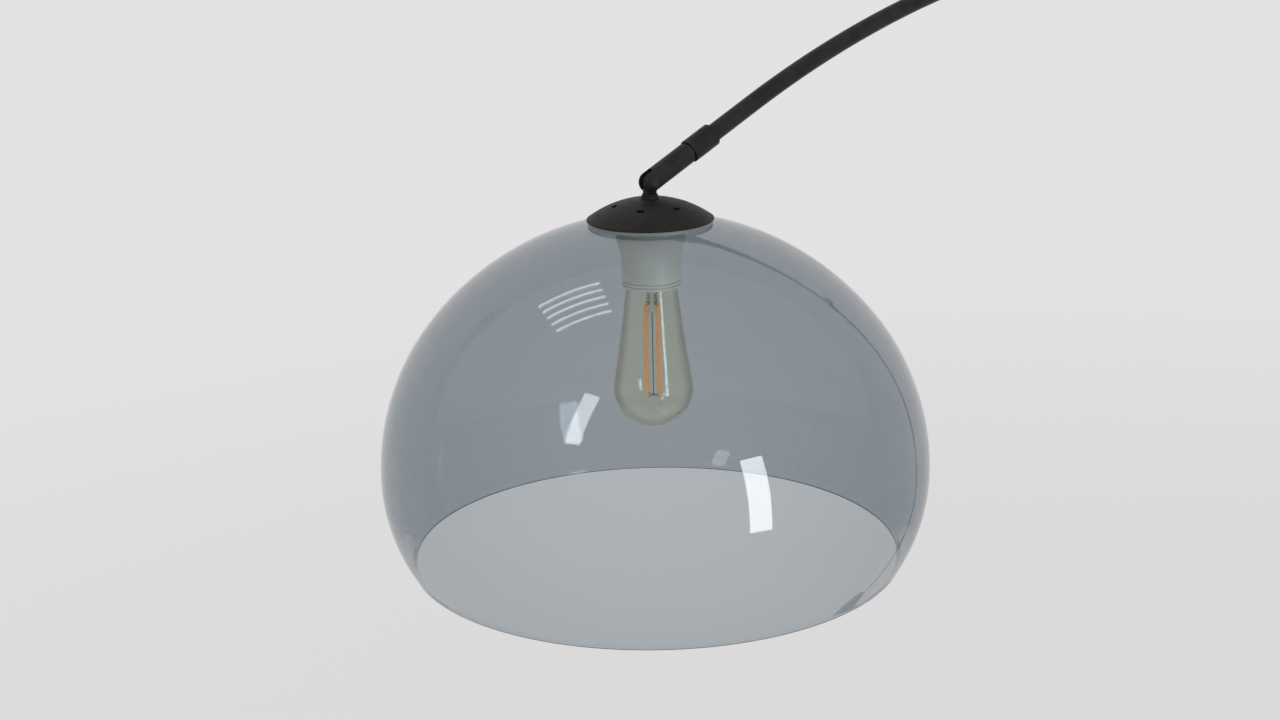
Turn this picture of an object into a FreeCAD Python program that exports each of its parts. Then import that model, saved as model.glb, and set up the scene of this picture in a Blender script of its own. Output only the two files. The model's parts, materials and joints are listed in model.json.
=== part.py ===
"""Arc floor lamp: heavy stone foot, telescoping pole, curved arm and a tilting dome shade.

Frame: millimetres, +Z up, origin on the floor under the middle of the foot.
The arm lies in the XZ plane: the pole stands at +X and the shade hangs at -X.
Every sub-part is built in its own local frame about +Z and then placed.
"""
import FreeCAD, Part
import math
import os

import Sketcher
from FreeCAD import Vector

# ---------------------------------------------------------------- driving sizes
# alias, value in mm (angles in degrees), what it measures
SIZES = [
    # foot
    ("base_diameter", 350, "stone foot"),
    ("base_height", 57, "stone foot without its pad"),
    ("base_edge", 5, "rounding of the foot's top edge"),
    ("base_bevel", 2, "bevel of the foot's lower edge"),
    ("pad_thickness", 3, "felt under the foot"),
    ("pad_inset", 7, "felt edge in from the foot's rim"),
    ("pole_offset", 60, "pole axis behind the foot's centre"),
    ("recess_diameter", 52, "pocket under the foot for nut and washer"),
    ("recess_depth", 27, "its depth"),
    ("lead_hole", 10, "drilled way for the lead, from rim to pocket"),
    ("lead_rise", 13, "its height above the foot's underside"),
    ("grommet_bore", 6.4, "grommet's opening"),
    ("grommet_flange", 15, "grommet's outer lip"),
    ("grommet_lip", 2, "thickness of that lip"),
    ("grommet_length", 12, "part of the grommet inside the foot"),
    ("flange_diameter", 88, "steel disc on the foot"),
    ("flange_thickness", 6, "steel disc"),
    ("flange_rim", 2.5, "upright edge of the disc"),
    ("spigot_height", 45, "plug on the disc, inside the pole"),
    ("stud_diameter", 16, "hollow threaded stud through the foot"),
    ("stud_bore", 9, "way for the lead"),
    ("stud_end", 3, "thread left below the nut"),
    ("washer_diameter", 44, "washer in the pocket"),
    ("washer_thickness", 3, "washer in the pocket"),
    ("nut_width", 26, "foot nut across its corners"),
    ("nut_thickness", 8, "foot nut"),
    # poles
    ("lower_pole", 35, "outer diameter"),
    ("lower_wall", 1.5, "its wall"),
    ("lower_top", 680, "top of the lower pole above the floor"),
    ("upper_pole", 28, "outer diameter"),
    ("upper_wall", 1.5, "its wall"),
    ("upper_top", 810, "top of the upper pole above the floor"),
    ("insertion", 320, "upper pole inside the lower one"),
    ("guide_length", 45, "bush in the mouth of the lower pole"),
    ("guide_lip", 2.5, "its visible lip"),
    ("clamp_wall", 4.5, "clamp collar of the lower pole"),
    ("clamp_height", 38, "clamp collar"),
    ("clamp_chamfer", 1.2, "bevel of collars"),
    ("boss_diameter", 15, "boss that carries the clamp screw"),
    ("boss_reach", 9, "boss beyond its collar"),
    ("screw_diameter", 6, "clamp screws"),
    ("knob_diameter", 30, "clamp knobs"),
    ("knob_thickness", 14, "clamp knobs"),
    ("knob_gap", 1.2, "between knob and boss"),
    ("flute_diameter", 9, "grip flutes of the knobs"),
    ("flute_count", 8, "grip flutes of the knobs"),
    ("shoe_length", 30, "sliding shoe at the foot of the upper pole"),
    ("shoe_lip", 2, "its end lip"),
    ("bush_length", 98, "swivel bush in the mouth of the upper pole"),
    ("bush_lip", 3, "its visible lip"),
    # arm
    ("arc_radius", 935, "centreline of the curved arm"),
    ("arc_rise", 50, "arc's centre above the upper pole"),
    ("root_tube", 22, "first tube of the arm, outer diameter"),
    ("root_wall", 1.2, "its wall"),
    ("root_end_angle", 42, "where it ends on the arc"),
    ("root_spigot", 170, "its straight stretch below the arc"),
    ("ring_height", 14, "collar that rests on the swivel bush"),
    ("ring_wall", 3.5, "collar that rests on the swivel bush"),
    ("middle_tube", 18, "second tube of the arm, outer diameter"),
    ("middle_wall", 1.2, "its wall"),
    ("middle_end_angle", 86, "where it ends on the arc"),
    ("middle_inside_angle", 4, "degrees of it inside the first tube"),
    ("reducer_lip", 5, "lip of the reducing sleeve"),
    ("grub_diameter", 4, "grub screws"),
    ("grub_step_angle", 1.6, "degrees between the two arm grub screws"),
    ("collar_wall", 3.5, "arm clamp collar"),
    ("collar_angle", 1.8, "its length in degrees"),
    ("guide_angle", 4, "arm guide bush, degrees"),
    ("tip_tube", 13, "last tube of the arm, outer diameter"),
    ("tip_wall", 1, "its wall"),
    ("tip_inside_angle", 14, "degrees of it inside the second tube"),
    ("tip_end_angle", 115.8, "where the arc ends and the straight end begins"),
    ("tip_straight", 103, "from the end of the arc to the tilt axis"),
    ("tip_shoe_angle", 1.2, "sliding shoe on its inner end, degrees"),
    # swivel and tilt
    ("socket_diameter", 17.2, "collar at the end of the arm"),
    ("socket_length", 23, "collar at the end of the arm"),
    ("socket_wall", 5, "its front wall, which carries the swivel pin"),
    ("swivel_gap", 2, "dark groove between collar and rod"),
    ("swivel_disc", 13, "nylon disc in that groove"),
    ("swivel_rod", 15.6, "rod of the knuckle"),
    ("rod_length", 37.5, "from groove to tilt axis"),
    ("swivel_pin", 8, "pin of the rod inside the collar"),
    ("pin_overrun", 2.6, "pin beyond the front wall"),
    ("clip_diameter", 10.2, "retaining clip on the pin"),
    ("clip_thickness", 1, "retaining clip"),
    ("wire_bore", 3.6, "way for the wires through the rod"),
    ("slot_width", 5.2, "slot in the rod's end"),
    ("slot_depth", 5.4, "slot behind the tilt axis"),
    ("tongue", 4, "tongue's thickness"),
    ("tongue_width", 9.6, "tongue across"),
    ("friction_disc", 9.2, "discs beside the tongue"),
    ("tilt_screw", 4, "screw on the tilt axis"),
    ("tilt_head", 6.6, "its head"),
    ("tilt_head_height", 2, "its head"),
    # head
    ("neck_diameter", 11.8, "knurled neck"),
    ("neck_height", 1.6, "knurled neck"),
    ("neck_clear", 0.5, "neck's top below the rod"),
    ("neck_flange", 12.8, "flange under the knurled neck"),
    ("neck_flange_height", 1.4, "that flange"),
    ("stem", 10, "threaded stem below the neck"),
    ("stem_bore", 5, "way for the wires"),
    ("cap_diameter", 90.6, "metal cap"),
    ("cap_radius", 76.3, "curvature of the cap"),
    ("cap_wall", 1, "cap's sheet"),
    ("cap_flat", 14, "flat middle of the cap"),
    ("cap_lip", 1, "upright edge of the cap"),
    ("cap_rise", 13.3, "top of the cap above the dome's crown"),
    ("vent_count", 6, "vent slots in the cap"),
    ("vent_length", 5.7, "vent slots"),
    ("vent_width", 3.4, "vent slots"),
    ("vent_circle", 52, "diameter on which the vents lie"),
    ("vent_angle", 38, "bearing of the first vent"),
    ("seal_width", 2.6, "clear seal under the cap's edge"),
    ("shade_diameter", 400, "dome at its widest"),
    ("shade_wall", 2.2, "dome wall"),
    ("crown_rise", 13.7, "dome's crown above the shoulder's curve"),
    ("shoulder_inset", 28.8, "centre of the shoulder's curve out from the axis"),
    ("rim_inset", 19, "dome's open rim in from its widest circle, per side"),
    ("rim_drop", 66.7, "rim below the widest circle"),
    ("shade_hole", 45, "hole in the dome's crown"),
    ("cup_diameter", 54, "lampholder cup at the dome"),
    ("cup_waist", 43.6, "lampholder cup at its joint"),
    ("cup_drop", 28.3, "that joint below the dome's crown"),
    ("cup_wall", 2, "lampholder cup"),
    ("cup_plate", 2.4, "its top plate"),
    ("cup_seal", 0.8, "inner seal between cup and dome"),
    ("stem_nut", 16, "nut under the plate, across corners"),
    ("stem_nut_height", 2.5, "nut under the plate"),
    ("skirt_diameter", 42.2, "lampholder skirt"),
    ("skirt_length", 22.2, "skirt below the joint"),
    ("skirt_wall", 2.2, "skirt"),
    ("skirt_thread", 8, "its threaded part inside the cup"),
    ("skirt_mouth", 37.5, "opening for the bulb's neck"),
    ("groove_depth", 0.5, "two fine grooves round the skirt"),
    ("groove_width", 0.8, "those grooves"),
    ("core_height", 10, "insulating core of the lampholder"),
    ("core_plate", 2.4, "core above the contact"),
    ("core_skirt", 33, "core round the screw shell"),
    ("shell_wall", 0.4, "lampholder's screw shell"),
    ("contact_disc", 9, "centre contact"),
    # bulb
    ("bulb_length", 140, "from crown to contact"),
    ("bulb_seat", 12.9, "bulb's end contact above the lampholder's joint"),
    ("bulb_ball", 57.4, "ball of the bulb"),
    ("bulb_neck", 35.4, "neck of the bulb"),
    ("bulb_flank", 400, "hollow curve from the neck down to the ball"),
    ("bulb_neck_drop", 31, "where the neck begins, below the end contact"),
    ("bulb_throat", 24.6, "neck inside its screw base"),
    ("bulb_glass", 0.9, "glass thickness"),
    ("screw_base", 26.2, "bulb's screw base"),
    ("base_shell", 21, "threaded part of the screw base"),
    ("base_wall", 0.4, "sheet of the screw base"),
    ("base_cone", 4, "insulator between thread and contact"),
    ("bulb_contact", 9.4, "bulb's end contact"),
    ("mount_diameter", 6, "glass mount inside the bulb"),
    ("mount_reach", 56.5, "its lower end below the end contact"),
    ("filament_count", 4, "filament sticks"),
    ("filament", 2.2, "filament stick"),
    ("filament_drop", 49.1, "their upper ends below the end contact"),
    ("filament_length", 67.4, "filament stick"),
    ("filament_circle", 13, "circle on which they stand"),
    ("filament_angle", 3.3, "bearing of the first stick"),
    ("support_wire", 0.8, "wires that hold the sticks"),
    # clearances
    ("running", 0.05, "between a shaft and its bore, per side"),
    ("fit", 0.02, "between parts pressed or glued together, per side"),
    ("glide", 0.25, "between bent tubes that slide in each other, per side"),
    ("glue", 0.1, "between bent tubes that are glued or screwed together, per side"),
    ("seat", 0.2, "between flat faces that turn or slide past each other"),
    ("loose", 0.3, "between parts that only pass each other, per side"),
]

# places that follow from the sizes: alias, formula
PLACES = [
    ("stone_top", "sizes.pad_thickness + sizes.base_height"),
    ("recess_top", "sizes.pad_thickness + sizes.recess_depth"),
    ("lead_height", "sizes.pad_thickness + sizes.lead_rise"),
    ("nut_bottom", "recess_top - sizes.washer_thickness - sizes.nut_thickness"),
    ("flange_top", "stone_top + sizes.flange_thickness"),
    ("clamp_middle", "sizes.lower_top - sizes.clamp_height / 2"),
    ("upper_bottom", "sizes.lower_top - sizes.insertion"),
    ("lower_bore", "sizes.lower_pole / 2 - sizes.lower_wall"),
    ("upper_bore", "sizes.upper_pole / 2 - sizes.upper_wall"),
    ("clamp_outer", "sizes.lower_pole / 2 + sizes.clamp_wall"),
    ("boss_end", "clamp_outer + sizes.boss_reach"),
    ("ring_bottom", "sizes.upper_top + sizes.bush_lip + sizes.seat"),
    ("arc_centre", "sizes.pole_offset - sizes.arc_radius"),
    ("arc_height", "sizes.upper_top + sizes.arc_rise"),
    ("root_bore", "sizes.root_tube / 2 - sizes.root_wall"),
    ("middle_start", "sizes.root_end_angle - sizes.middle_inside_angle"),
    ("middle_bore", "sizes.middle_tube / 2 - sizes.middle_wall"),
    ("tip_start", "sizes.middle_end_angle - sizes.tip_inside_angle"),
    ("tip_bore", "sizes.tip_tube / 2 - sizes.tip_wall"),
    ("degree", "sizes.arc_radius * pi / 180"),
    ("collar_middle", "sizes.middle_end_angle - sizes.collar_angle / 2"),
    ("collar_outer", "sizes.middle_tube / 2 + sizes.collar_wall"),
    ("collar_boss_end", "collar_outer + sizes.boss_reach"),
    ("collar_x", "arc_centre + sizes.arc_radius * cos(collar_middle)"),
    ("collar_z", "arc_height + sizes.arc_radius * sin(collar_middle)"),
    ("tip_x", "arc_centre + sizes.arc_radius * cos(sizes.tip_end_angle)"),
    ("tip_z", "arc_height + sizes.arc_radius * sin(sizes.tip_end_angle)"),
    ("tilt_x", "tip_x - sizes.tip_straight * sin(sizes.tip_end_angle)"),
    ("tilt_z", "tip_z + sizes.tip_straight * cos(sizes.tip_end_angle)"),
    ("socket_front", "-sizes.rod_length - sizes.swivel_gap"),
    ("socket_back", "socket_front - sizes.socket_length"),
    ("socket_floor", "socket_front - sizes.socket_wall"),
    ("pin_end", "socket_floor - sizes.pin_overrun"),
    ("tube_end", "socket_floor - sizes.seat"),
    ("dome", "sizes.shade_diameter / 2"),
    ("shoulder_radius", "dome - sizes.shoulder_inset"),
    ("shade_top", "shoulder_radius + sizes.crown_rise"),
    ("cap_top", "shade_top + sizes.cap_rise"),
    ("flange_face", "cap_top + sizes.neck_flange_height"),
    ("neck_top", "flange_face + sizes.neck_height"),
    ("tilt_height", "neck_top + sizes.neck_clear + sizes.swivel_rod / 2"),
    ("head_z", "tilt_z - tilt_height"),
    ("cap_sphere", "cap_top - sqrt(sizes.cap_radius^2 - (sizes.cap_flat / 2)^2)"),
    ("cap_edge", "cap_sphere + sqrt(sizes.cap_radius^2 - (sizes.cap_diameter / 2)^2)"),
    ("cap_bottom", "cap_edge - sizes.cap_lip"),
    ("crown_radius", "(sizes.shoulder_inset^2 + shade_top^2 - shoulder_radius^2)"
                     " / (2 * sizes.crown_rise)"),
    ("crown_z", "shade_top - crown_radius"),
    ("crown_reach", "sqrt(sizes.shoulder_inset^2 + crown_z^2)"),
    ("rim", "dome - sizes.rim_inset"),
    ("skirt_radius", "((dome - rim)^2 + sizes.rim_drop^2) / (2 * (dome - rim))"),
    ("skirt_x", "dome - skirt_radius"),
    ("rim_inner", "skirt_x + sqrt((skirt_radius - sizes.shade_wall)^2 - sizes.rim_drop^2)"),
    ("inner_crown", "crown_radius - sizes.shade_wall"),
    ("hole_outer", "crown_z + sqrt(crown_radius^2 - (sizes.shade_hole / 2)^2)"),
    ("hole_inner", "crown_z + sqrt(inner_crown^2 - (sizes.shade_hole / 2)^2)"),
    ("cup_top", "crown_z + sqrt(inner_crown^2 - (sizes.cup_diameter / 2)^2) - sizes.cup_seal"),
    ("cup_ceiling", "cup_top - sizes.cup_plate"),
    ("stem_end", "cup_ceiling - sizes.stem_nut_height - sizes.seat"),
    ("cup_joint", "shade_top - sizes.cup_drop"),
    ("skirt_bottom", "cup_joint - sizes.skirt_length"),
    ("thread_top", "cup_joint + sizes.skirt_thread"),
    ("thread_outer", "sizes.cup_waist / 2 - sizes.cup_wall - sizes.fit"),
    ("bulb_top", "cup_joint + sizes.bulb_seat"),
    ("bulb_bottom", "bulb_top - sizes.bulb_length"),
    ("bulb_neck_height", "bulb_top - sizes.bulb_neck_drop"),
    ("mount_end", "bulb_top - sizes.mount_reach"),
    ("filament_top", "bulb_top - sizes.filament_drop"),
    ("filament_bottom", "filament_top - sizes.filament_length"),
    ("core_ceiling", "bulb_top + sizes.loose + sizes.fit"),
    ("core_top", "core_ceiling + sizes.core_plate"),
    ("core_ledge", "thread_top + sizes.fit"),
    ("shell_inner", "sizes.screw_base / 2 + sizes.running"),
    ("shell_outer", "shell_inner + sizes.shell_wall"),
    ("ball", "sizes.bulb_ball / 2"),
    ("ball_z", "bulb_bottom + ball"),
    ("neck", "sizes.bulb_neck / 2"),
    ("neck_rise", "bulb_neck_height - ball_z"),
    ("flank_outer", "ball + sizes.bulb_flank"),
    ("neck_reach", "neck^2 + neck_rise^2"),
    ("flank_along", "(flank_outer^2 + neck_reach - sizes.bulb_flank^2) / (2 * neck_reach)"),
    ("flank_aside", "sqrt(flank_outer^2 / neck_reach - flank_along^2)"),
    ("flank_x", "flank_along * neck + flank_aside * neck_rise"),
    ("flank_z", "flank_along * neck_rise - flank_aside * neck"),
    ("inner_ball", "ball - sizes.bulb_glass"),
    ("shell_bottom", "bulb_top - sizes.base_cone - sizes.base_shell"),
    ("shell_top", "bulb_top - sizes.base_cone"),
    ("throat", "sizes.bulb_throat / 2"),
    ("glass_top", "shell_bottom + sizes.base_shell / 2"),
    ("neck_foot", "skirt_bottom + sizes.skirt_wall"),
]

doc = FreeCAD.newDocument("arc_lamp")
PARTS = []


def fill_sheet(name, rows):
    """Write one sheet: column A the alias, column B the value or formula, column C the note."""
    sheet = doc.addObject("Spreadsheet::Sheet", name)
    for number, row in enumerate(rows, 1):
        sheet.set("A%d" % number, row[0])
        sheet.set("B%d" % number, row[1])
        sheet.set("C%d" % number, row[2])
        sheet.setAlias("B%d" % number, row[0])
    return sheet


sizes = fill_sheet("sizes", [(alias, str(value), note) for alias, value, note in SIZES])
doc.recompute()
places = fill_sheet("places", [(alias, "=" + formula, "") for alias, formula in PLACES])
doc.recompute()


# ---------------------------------------------------------------- helpers
def amount(formula):
    """The present value of a formula in sheet names."""
    return float(places.evalExpression(formula.replace("places.", "")))


def frame(x="0", z="0", lean=None, axis="0; 1; 0", y="0"):
    """Placement formula: a point, and a turn about one axis (the Y axis unless named)."""
    turn = "0" if lean is None else lean
    return "placement(vector(%s; %s; %s); rotation(vector(%s); %s))" % (x, y, z, axis, turn)


WORLD = frame()
POLE = frame("sizes.pole_offset")
TIP = frame("places.tilt_x", "places.tilt_z", "-sizes.tip_end_angle")
HEAD = frame("places.tilt_x", "places.head_z")
BACKWARD = "90"
SIDEWAYS = "-90"


def on_arc(angle):
    """Placement at the arc's centre, turned so that local +X points at this place on the arc."""
    return frame("places.arc_centre", "places.arc_height", "-(%s)" % angle)


def origin_plane(body, role):
    return [plane for plane in body.Origin.OriginFeatures if plane.Role == role][0]


def new_body(name, place):
    body = doc.addObject("PartDesign::Body", name)
    body.setExpression("Placement", place)
    return body


def new_sketch(body, role):
    sketch = body.newObject("Sketcher::SketchObject", body.Name + "_sketch")
    sketch.AttachmentSupport = [(origin_plane(body, role), "")]
    sketch.MapMode = "FlatFace"
    return sketch


def bind(sketch, kind, target, formula):
    """Add one dimension to a sketch and tie it to its formula."""
    value = amount(formula)
    number = sketch.addConstraint(Sketcher.Constraint(kind, *target, value))
    sketch.setExpression("Constraints[%d]" % number, formula)


def edge_between(start, end, radius):
    """A line, or an arc of the given radius: positive bulges to the right of the way along it."""
    if radius is None:
        return Part.LineSegment(start, end), (1, 2)
    size = abs(radius)
    middle = (start + end) * 0.5
    along = end - start
    aside = Vector(-along.y, along.x, 0).normalize()
    side = 1 if radius > 0 else -1
    centre = middle + aside * (side * math.sqrt(max(size ** 2 - (along.Length / 2) ** 2, 0)))
    first, last = (start, end) if radius > 0 else (end, start)
    angles = [math.atan2(point.y - centre.y, point.x - centre.x) for point in (first, last)]
    if angles[1] < angles[0]:
        angles[1] += 2 * math.pi
    arc = Part.ArcOfCircle(Part.Circle(centre, Vector(0, 0, 1), size), *angles)
    return arc, ((1, 2) if radius > 0 else (2, 1))


def turned(name, outline, place):
    """A lathe-turned body about local Z.

    outline lists its corners as (radius, height) or (radius, height, bend): bend is the
    signed radius of the arc that leads to that corner.
    """
    body = new_body(name, place)
    sketch = new_sketch(body, "XZ_Plane")
    corners = [Vector(amount(row[0]), amount(row[1]), 0) for row in outline]
    ends = []
    for number, row in enumerate(outline):
        bend = row[2] if len(row) > 2 else None
        radius = amount(bend) if bend else None
        edge, end = edge_between(corners[number - 1], corners[number], radius)
        sketch.addGeometry(edge)
        ends.append(end)
    for number, row in enumerate(outline):
        after = (number + 1) % len(outline)
        start = ends[number][1]
        sketch.addConstraint(Sketcher.Constraint("Coincident", number, start, after, ends[after][0]))
        bind(sketch, "DistanceX", (-1, 1, number, start), row[0])
        bind(sketch, "DistanceY", (-1, 1, number, start), row[1])
        if len(row) > 2:
            bind(sketch, "Radius", (number,), "abs(%s)" % row[2])
    spin = body.newObject("PartDesign::Revolution", name + "_turn")
    spin.Profile = sketch
    spin.ReferenceAxis = (sketch, ["V_Axis"])
    spin.Angle = 360
    return body


def sleeve(name, outer, bore, bottom, top, place, bevel=None):
    """A straight turned ring, its outer edges bevelled where asked."""
    if bevel is None:
        outline = [(bore, bottom), (outer, bottom), (outer, top), (bore, top)]
    else:
        outline = [(bore, bottom), ("%s - %s" % (outer, bevel), bottom),
                   (outer, "%s + %s" % (bottom, bevel)), (outer, "%s - %s" % (top, bevel)),
                   ("%s - %s" % (outer, bevel), top), (bore, top)]
    return turned(name, outline, place)


def bent_tube(name, outer, bore, at, sweep, ahead=True, straight=None):
    """A tube that follows the arm's arc from the place "at", with a straight end if asked.

    It sweeps up the arc when ahead is true. The straight end leaves the same place
    the other way, along the tangent.
    """
    body = new_body(name, on_arc(at))
    sketch = new_sketch(body, "XY_Plane")
    centre = Vector(amount("sizes.arc_radius"), 0, 0)
    for radius in (outer, bore):
        sketch.addGeometry(Part.Circle(centre, Vector(0, 0, 1), amount(radius)))
    sketch.addConstraint(Sketcher.Constraint("Coincident", 0, 3, 1, 3))
    sketch.addConstraint(Sketcher.Constraint("PointOnObject", 0, 3, -1))
    bind(sketch, "DistanceX", (-1, 1, 0, 3), "sizes.arc_radius")
    bind(sketch, "Radius", (0,), outer)
    bind(sketch, "Radius", (1,), bore)
    bend = body.newObject("PartDesign::Revolution", name + "_bend")
    bend.Profile = sketch
    bend.ReferenceAxis = (sketch, ["V_Axis"])
    bend.Reversed = ahead
    bend.setExpression("Angle", sweep)
    if straight:
        run = body.newObject("PartDesign::Pad", name + "_run")
        run.Profile = sketch
        run.Reversed = ahead
        run.setExpression("Length", straight)
    return body


def rod(name, radius, length, place):
    piece = doc.addObject("Part::Cylinder", name)
    piece.setExpression("Radius", radius)
    piece.setExpression("Height", length)
    piece.setExpression("Placement", place)
    return piece


def block(name, length, width, height, place):
    piece = doc.addObject("Part::Box", name)
    piece.setExpression("Length", length)
    piece.setExpression("Width", width)
    piece.setExpression("Height", height)
    piece.setExpression("Placement", place)
    return piece


def hexagon(name, across, height, place):
    piece = doc.addObject("Part::Prism", name)
    piece.Polygon = 6
    piece.setExpression("Circumradius", "%s / 2" % across)
    piece.setExpression("Height", height)
    piece.setExpression("Placement", place)
    return piece


def joined(name, pieces):
    whole = doc.addObject("Part::MultiFuse", name)
    whole.Shapes = pieces
    return whole


def cut(name, blank, tools):
    """Take each tool away from the blank in turn."""
    result = blank
    for number, tool in enumerate(tools, 1):
        step = doc.addObject("Part::Cut", "%s_cut%d" % (name, number))
        step.Base = result
        step.Tool = tool
        result = step
    return result


def group(name, pieces):
    """Several equal solids that stay separate but share one node."""
    compound = doc.addObject("Part::Compound", name)
    compound.Links = pieces
    return compound


def keep(label, piece):
    """Give a finished sub-part the label that names its file."""
    piece.Label = label
    PARTS.append(piece)


# ---------------------------------------------------------------- foot
def foot():
    keep("felt_pad", cut("felt_pad", turned("felt_pad_blank", [
        ("0", "0"),
        ("sizes.base_diameter / 2 - sizes.pad_inset", "0"),
        ("sizes.base_diameter / 2 - sizes.pad_inset", "sizes.pad_thickness"),
        ("0", "sizes.pad_thickness")], WORLD), [
            rod("felt_pad_hole", "sizes.recess_diameter / 2", "sizes.pad_thickness", POLE)]))

    rim = "sizes.base_diameter / 2"
    blank = turned("base_blank", [
        ("0", "sizes.pad_thickness"),
        (rim + " - sizes.base_bevel", "sizes.pad_thickness"),
        (rim, "sizes.pad_thickness + sizes.base_bevel"),
        (rim, "places.stone_top - sizes.base_edge"),
        (rim + " - sizes.base_edge", "places.stone_top", "sizes.base_edge"),
        ("0", "places.stone_top")], WORLD)
    recess = rod("base_recess", "sizes.recess_diameter / 2", "sizes.recess_depth",
                 frame("sizes.pole_offset", "sizes.pad_thickness"))
    hole = rod("base_hole", "sizes.stud_diameter / 2 + sizes.loose", "sizes.base_height",
               frame("sizes.pole_offset", "sizes.pad_thickness"))
    lead = rod("base_lead_hole", "sizes.lead_hole / 2", rim + " - sizes.pole_offset",
               frame("sizes.pole_offset", "places.lead_height", BACKWARD))
    keep("base_block", cut("base_block", blank, [recess, hole, lead]))

    sleeve_radius = "sizes.lead_hole / 2 - sizes.fit"
    keep("cord_grommet", turned("cord_grommet", [
        ("sizes.grommet_bore / 2", "-sizes.grommet_length"),
        (sleeve_radius, "-sizes.grommet_length"),
        (sleeve_radius, "sizes.fit"),
        ("sizes.grommet_flange / 2", "sizes.fit"),
        ("sizes.grommet_flange / 2", "sizes.fit + sizes.grommet_lip / 2"),
        ("sizes.grommet_flange / 2 - sizes.grommet_lip / 2", "sizes.fit + sizes.grommet_lip",
         "sizes.grommet_lip / 2"),
        ("sizes.grommet_bore / 2", "sizes.fit + sizes.grommet_lip")],
        frame(rim, "places.lead_height", BACKWARD)))

    stud_way = "sizes.stud_diameter / 2 + sizes.running"
    plug = "places.lower_bore - sizes.running"
    keep("foot_flange", turned("foot_flange", [
        (stud_way, "places.stone_top"),
        ("sizes.flange_diameter / 2", "places.stone_top"),
        ("sizes.flange_diameter / 2", "places.stone_top + sizes.flange_rim"),
        ("sizes.lower_pole / 2 + sizes.clamp_wall", "places.flange_top"),
        (plug, "places.flange_top"),
        (plug, "places.flange_top + sizes.spigot_height"),
        (stud_way, "places.flange_top + sizes.spigot_height")], POLE))
    keep("foot_stud", sleeve("foot_stud", "sizes.stud_diameter / 2", "sizes.stud_bore / 2",
                             "places.nut_bottom - sizes.stud_end",
                             "places.flange_top + sizes.spigot_height", POLE))
    keep("foot_washer", sleeve("foot_washer", "sizes.washer_diameter / 2", stud_way,
                               "places.recess_top - sizes.washer_thickness",
                               "places.recess_top", POLE))
    nut_place = frame("sizes.pole_offset", "places.nut_bottom")
    keep("foot_nut", cut("foot_nut", hexagon("foot_nut_blank", "sizes.nut_width",
                                             "sizes.nut_thickness", nut_place),
                         [rod("foot_nut_thread", stud_way, "sizes.nut_thickness", nut_place)]))


# ---------------------------------------------------------------- clamp knobs
def clamp_knob(name, screw_tip, boss_end, place):
    """Knob and screw on one axis: the screw ends just short of the tube that it holds."""
    inside = "%s + sizes.knob_gap + sizes.knob_thickness - sizes.clamp_wall" % boss_end
    keep(name + "_screw", turned(name + "_screw", [
        ("0", screw_tip),
        ("sizes.screw_diameter / 2 - sizes.clamp_chamfer / 2", screw_tip),
        ("sizes.screw_diameter / 2", "%s + sizes.clamp_chamfer / 2" % screw_tip),
        ("sizes.screw_diameter / 2", inside),
        ("0", inside)], place))
    near = "%s + sizes.knob_gap" % boss_end
    far = "%s + sizes.knob_thickness" % near
    grip = "sizes.knob_diameter / 2"
    hole = "sizes.screw_diameter / 2 + sizes.fit"
    blank = turned(name + "_knob_blank", [
        (hole, near),
        ("sizes.boss_diameter / 2", near),
        (grip, "%s + sizes.clamp_wall" % near),
        (grip, "%s - sizes.clamp_chamfer" % far),
        (grip + " - sizes.clamp_chamfer", far, "sizes.clamp_chamfer"),
        ("0", far),
        ("0", inside + " + sizes.fit"),
        (hole, inside + " + sizes.fit")], place)
    flutes = []
    for number in range(int(amount("sizes.flute_count"))):
        turn = "%d * 360 / sizes.flute_count" % number
        reach = "(sizes.knob_diameter / 2 + sizes.flute_diameter / 4)"
        local = frame("%s * cos(%s)" % (reach, turn), near, y="%s * sin(%s)" % (reach, turn))
        flutes.append(rod("%s_flute%d" % (name, number), "sizes.flute_diameter / 2",
                          "sizes.knob_thickness", "%s * %s" % (place, local)))
    keep(name + "_knob", cut(name + "_knob", blank, [joined(name + "_flutes", flutes)]))


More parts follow.
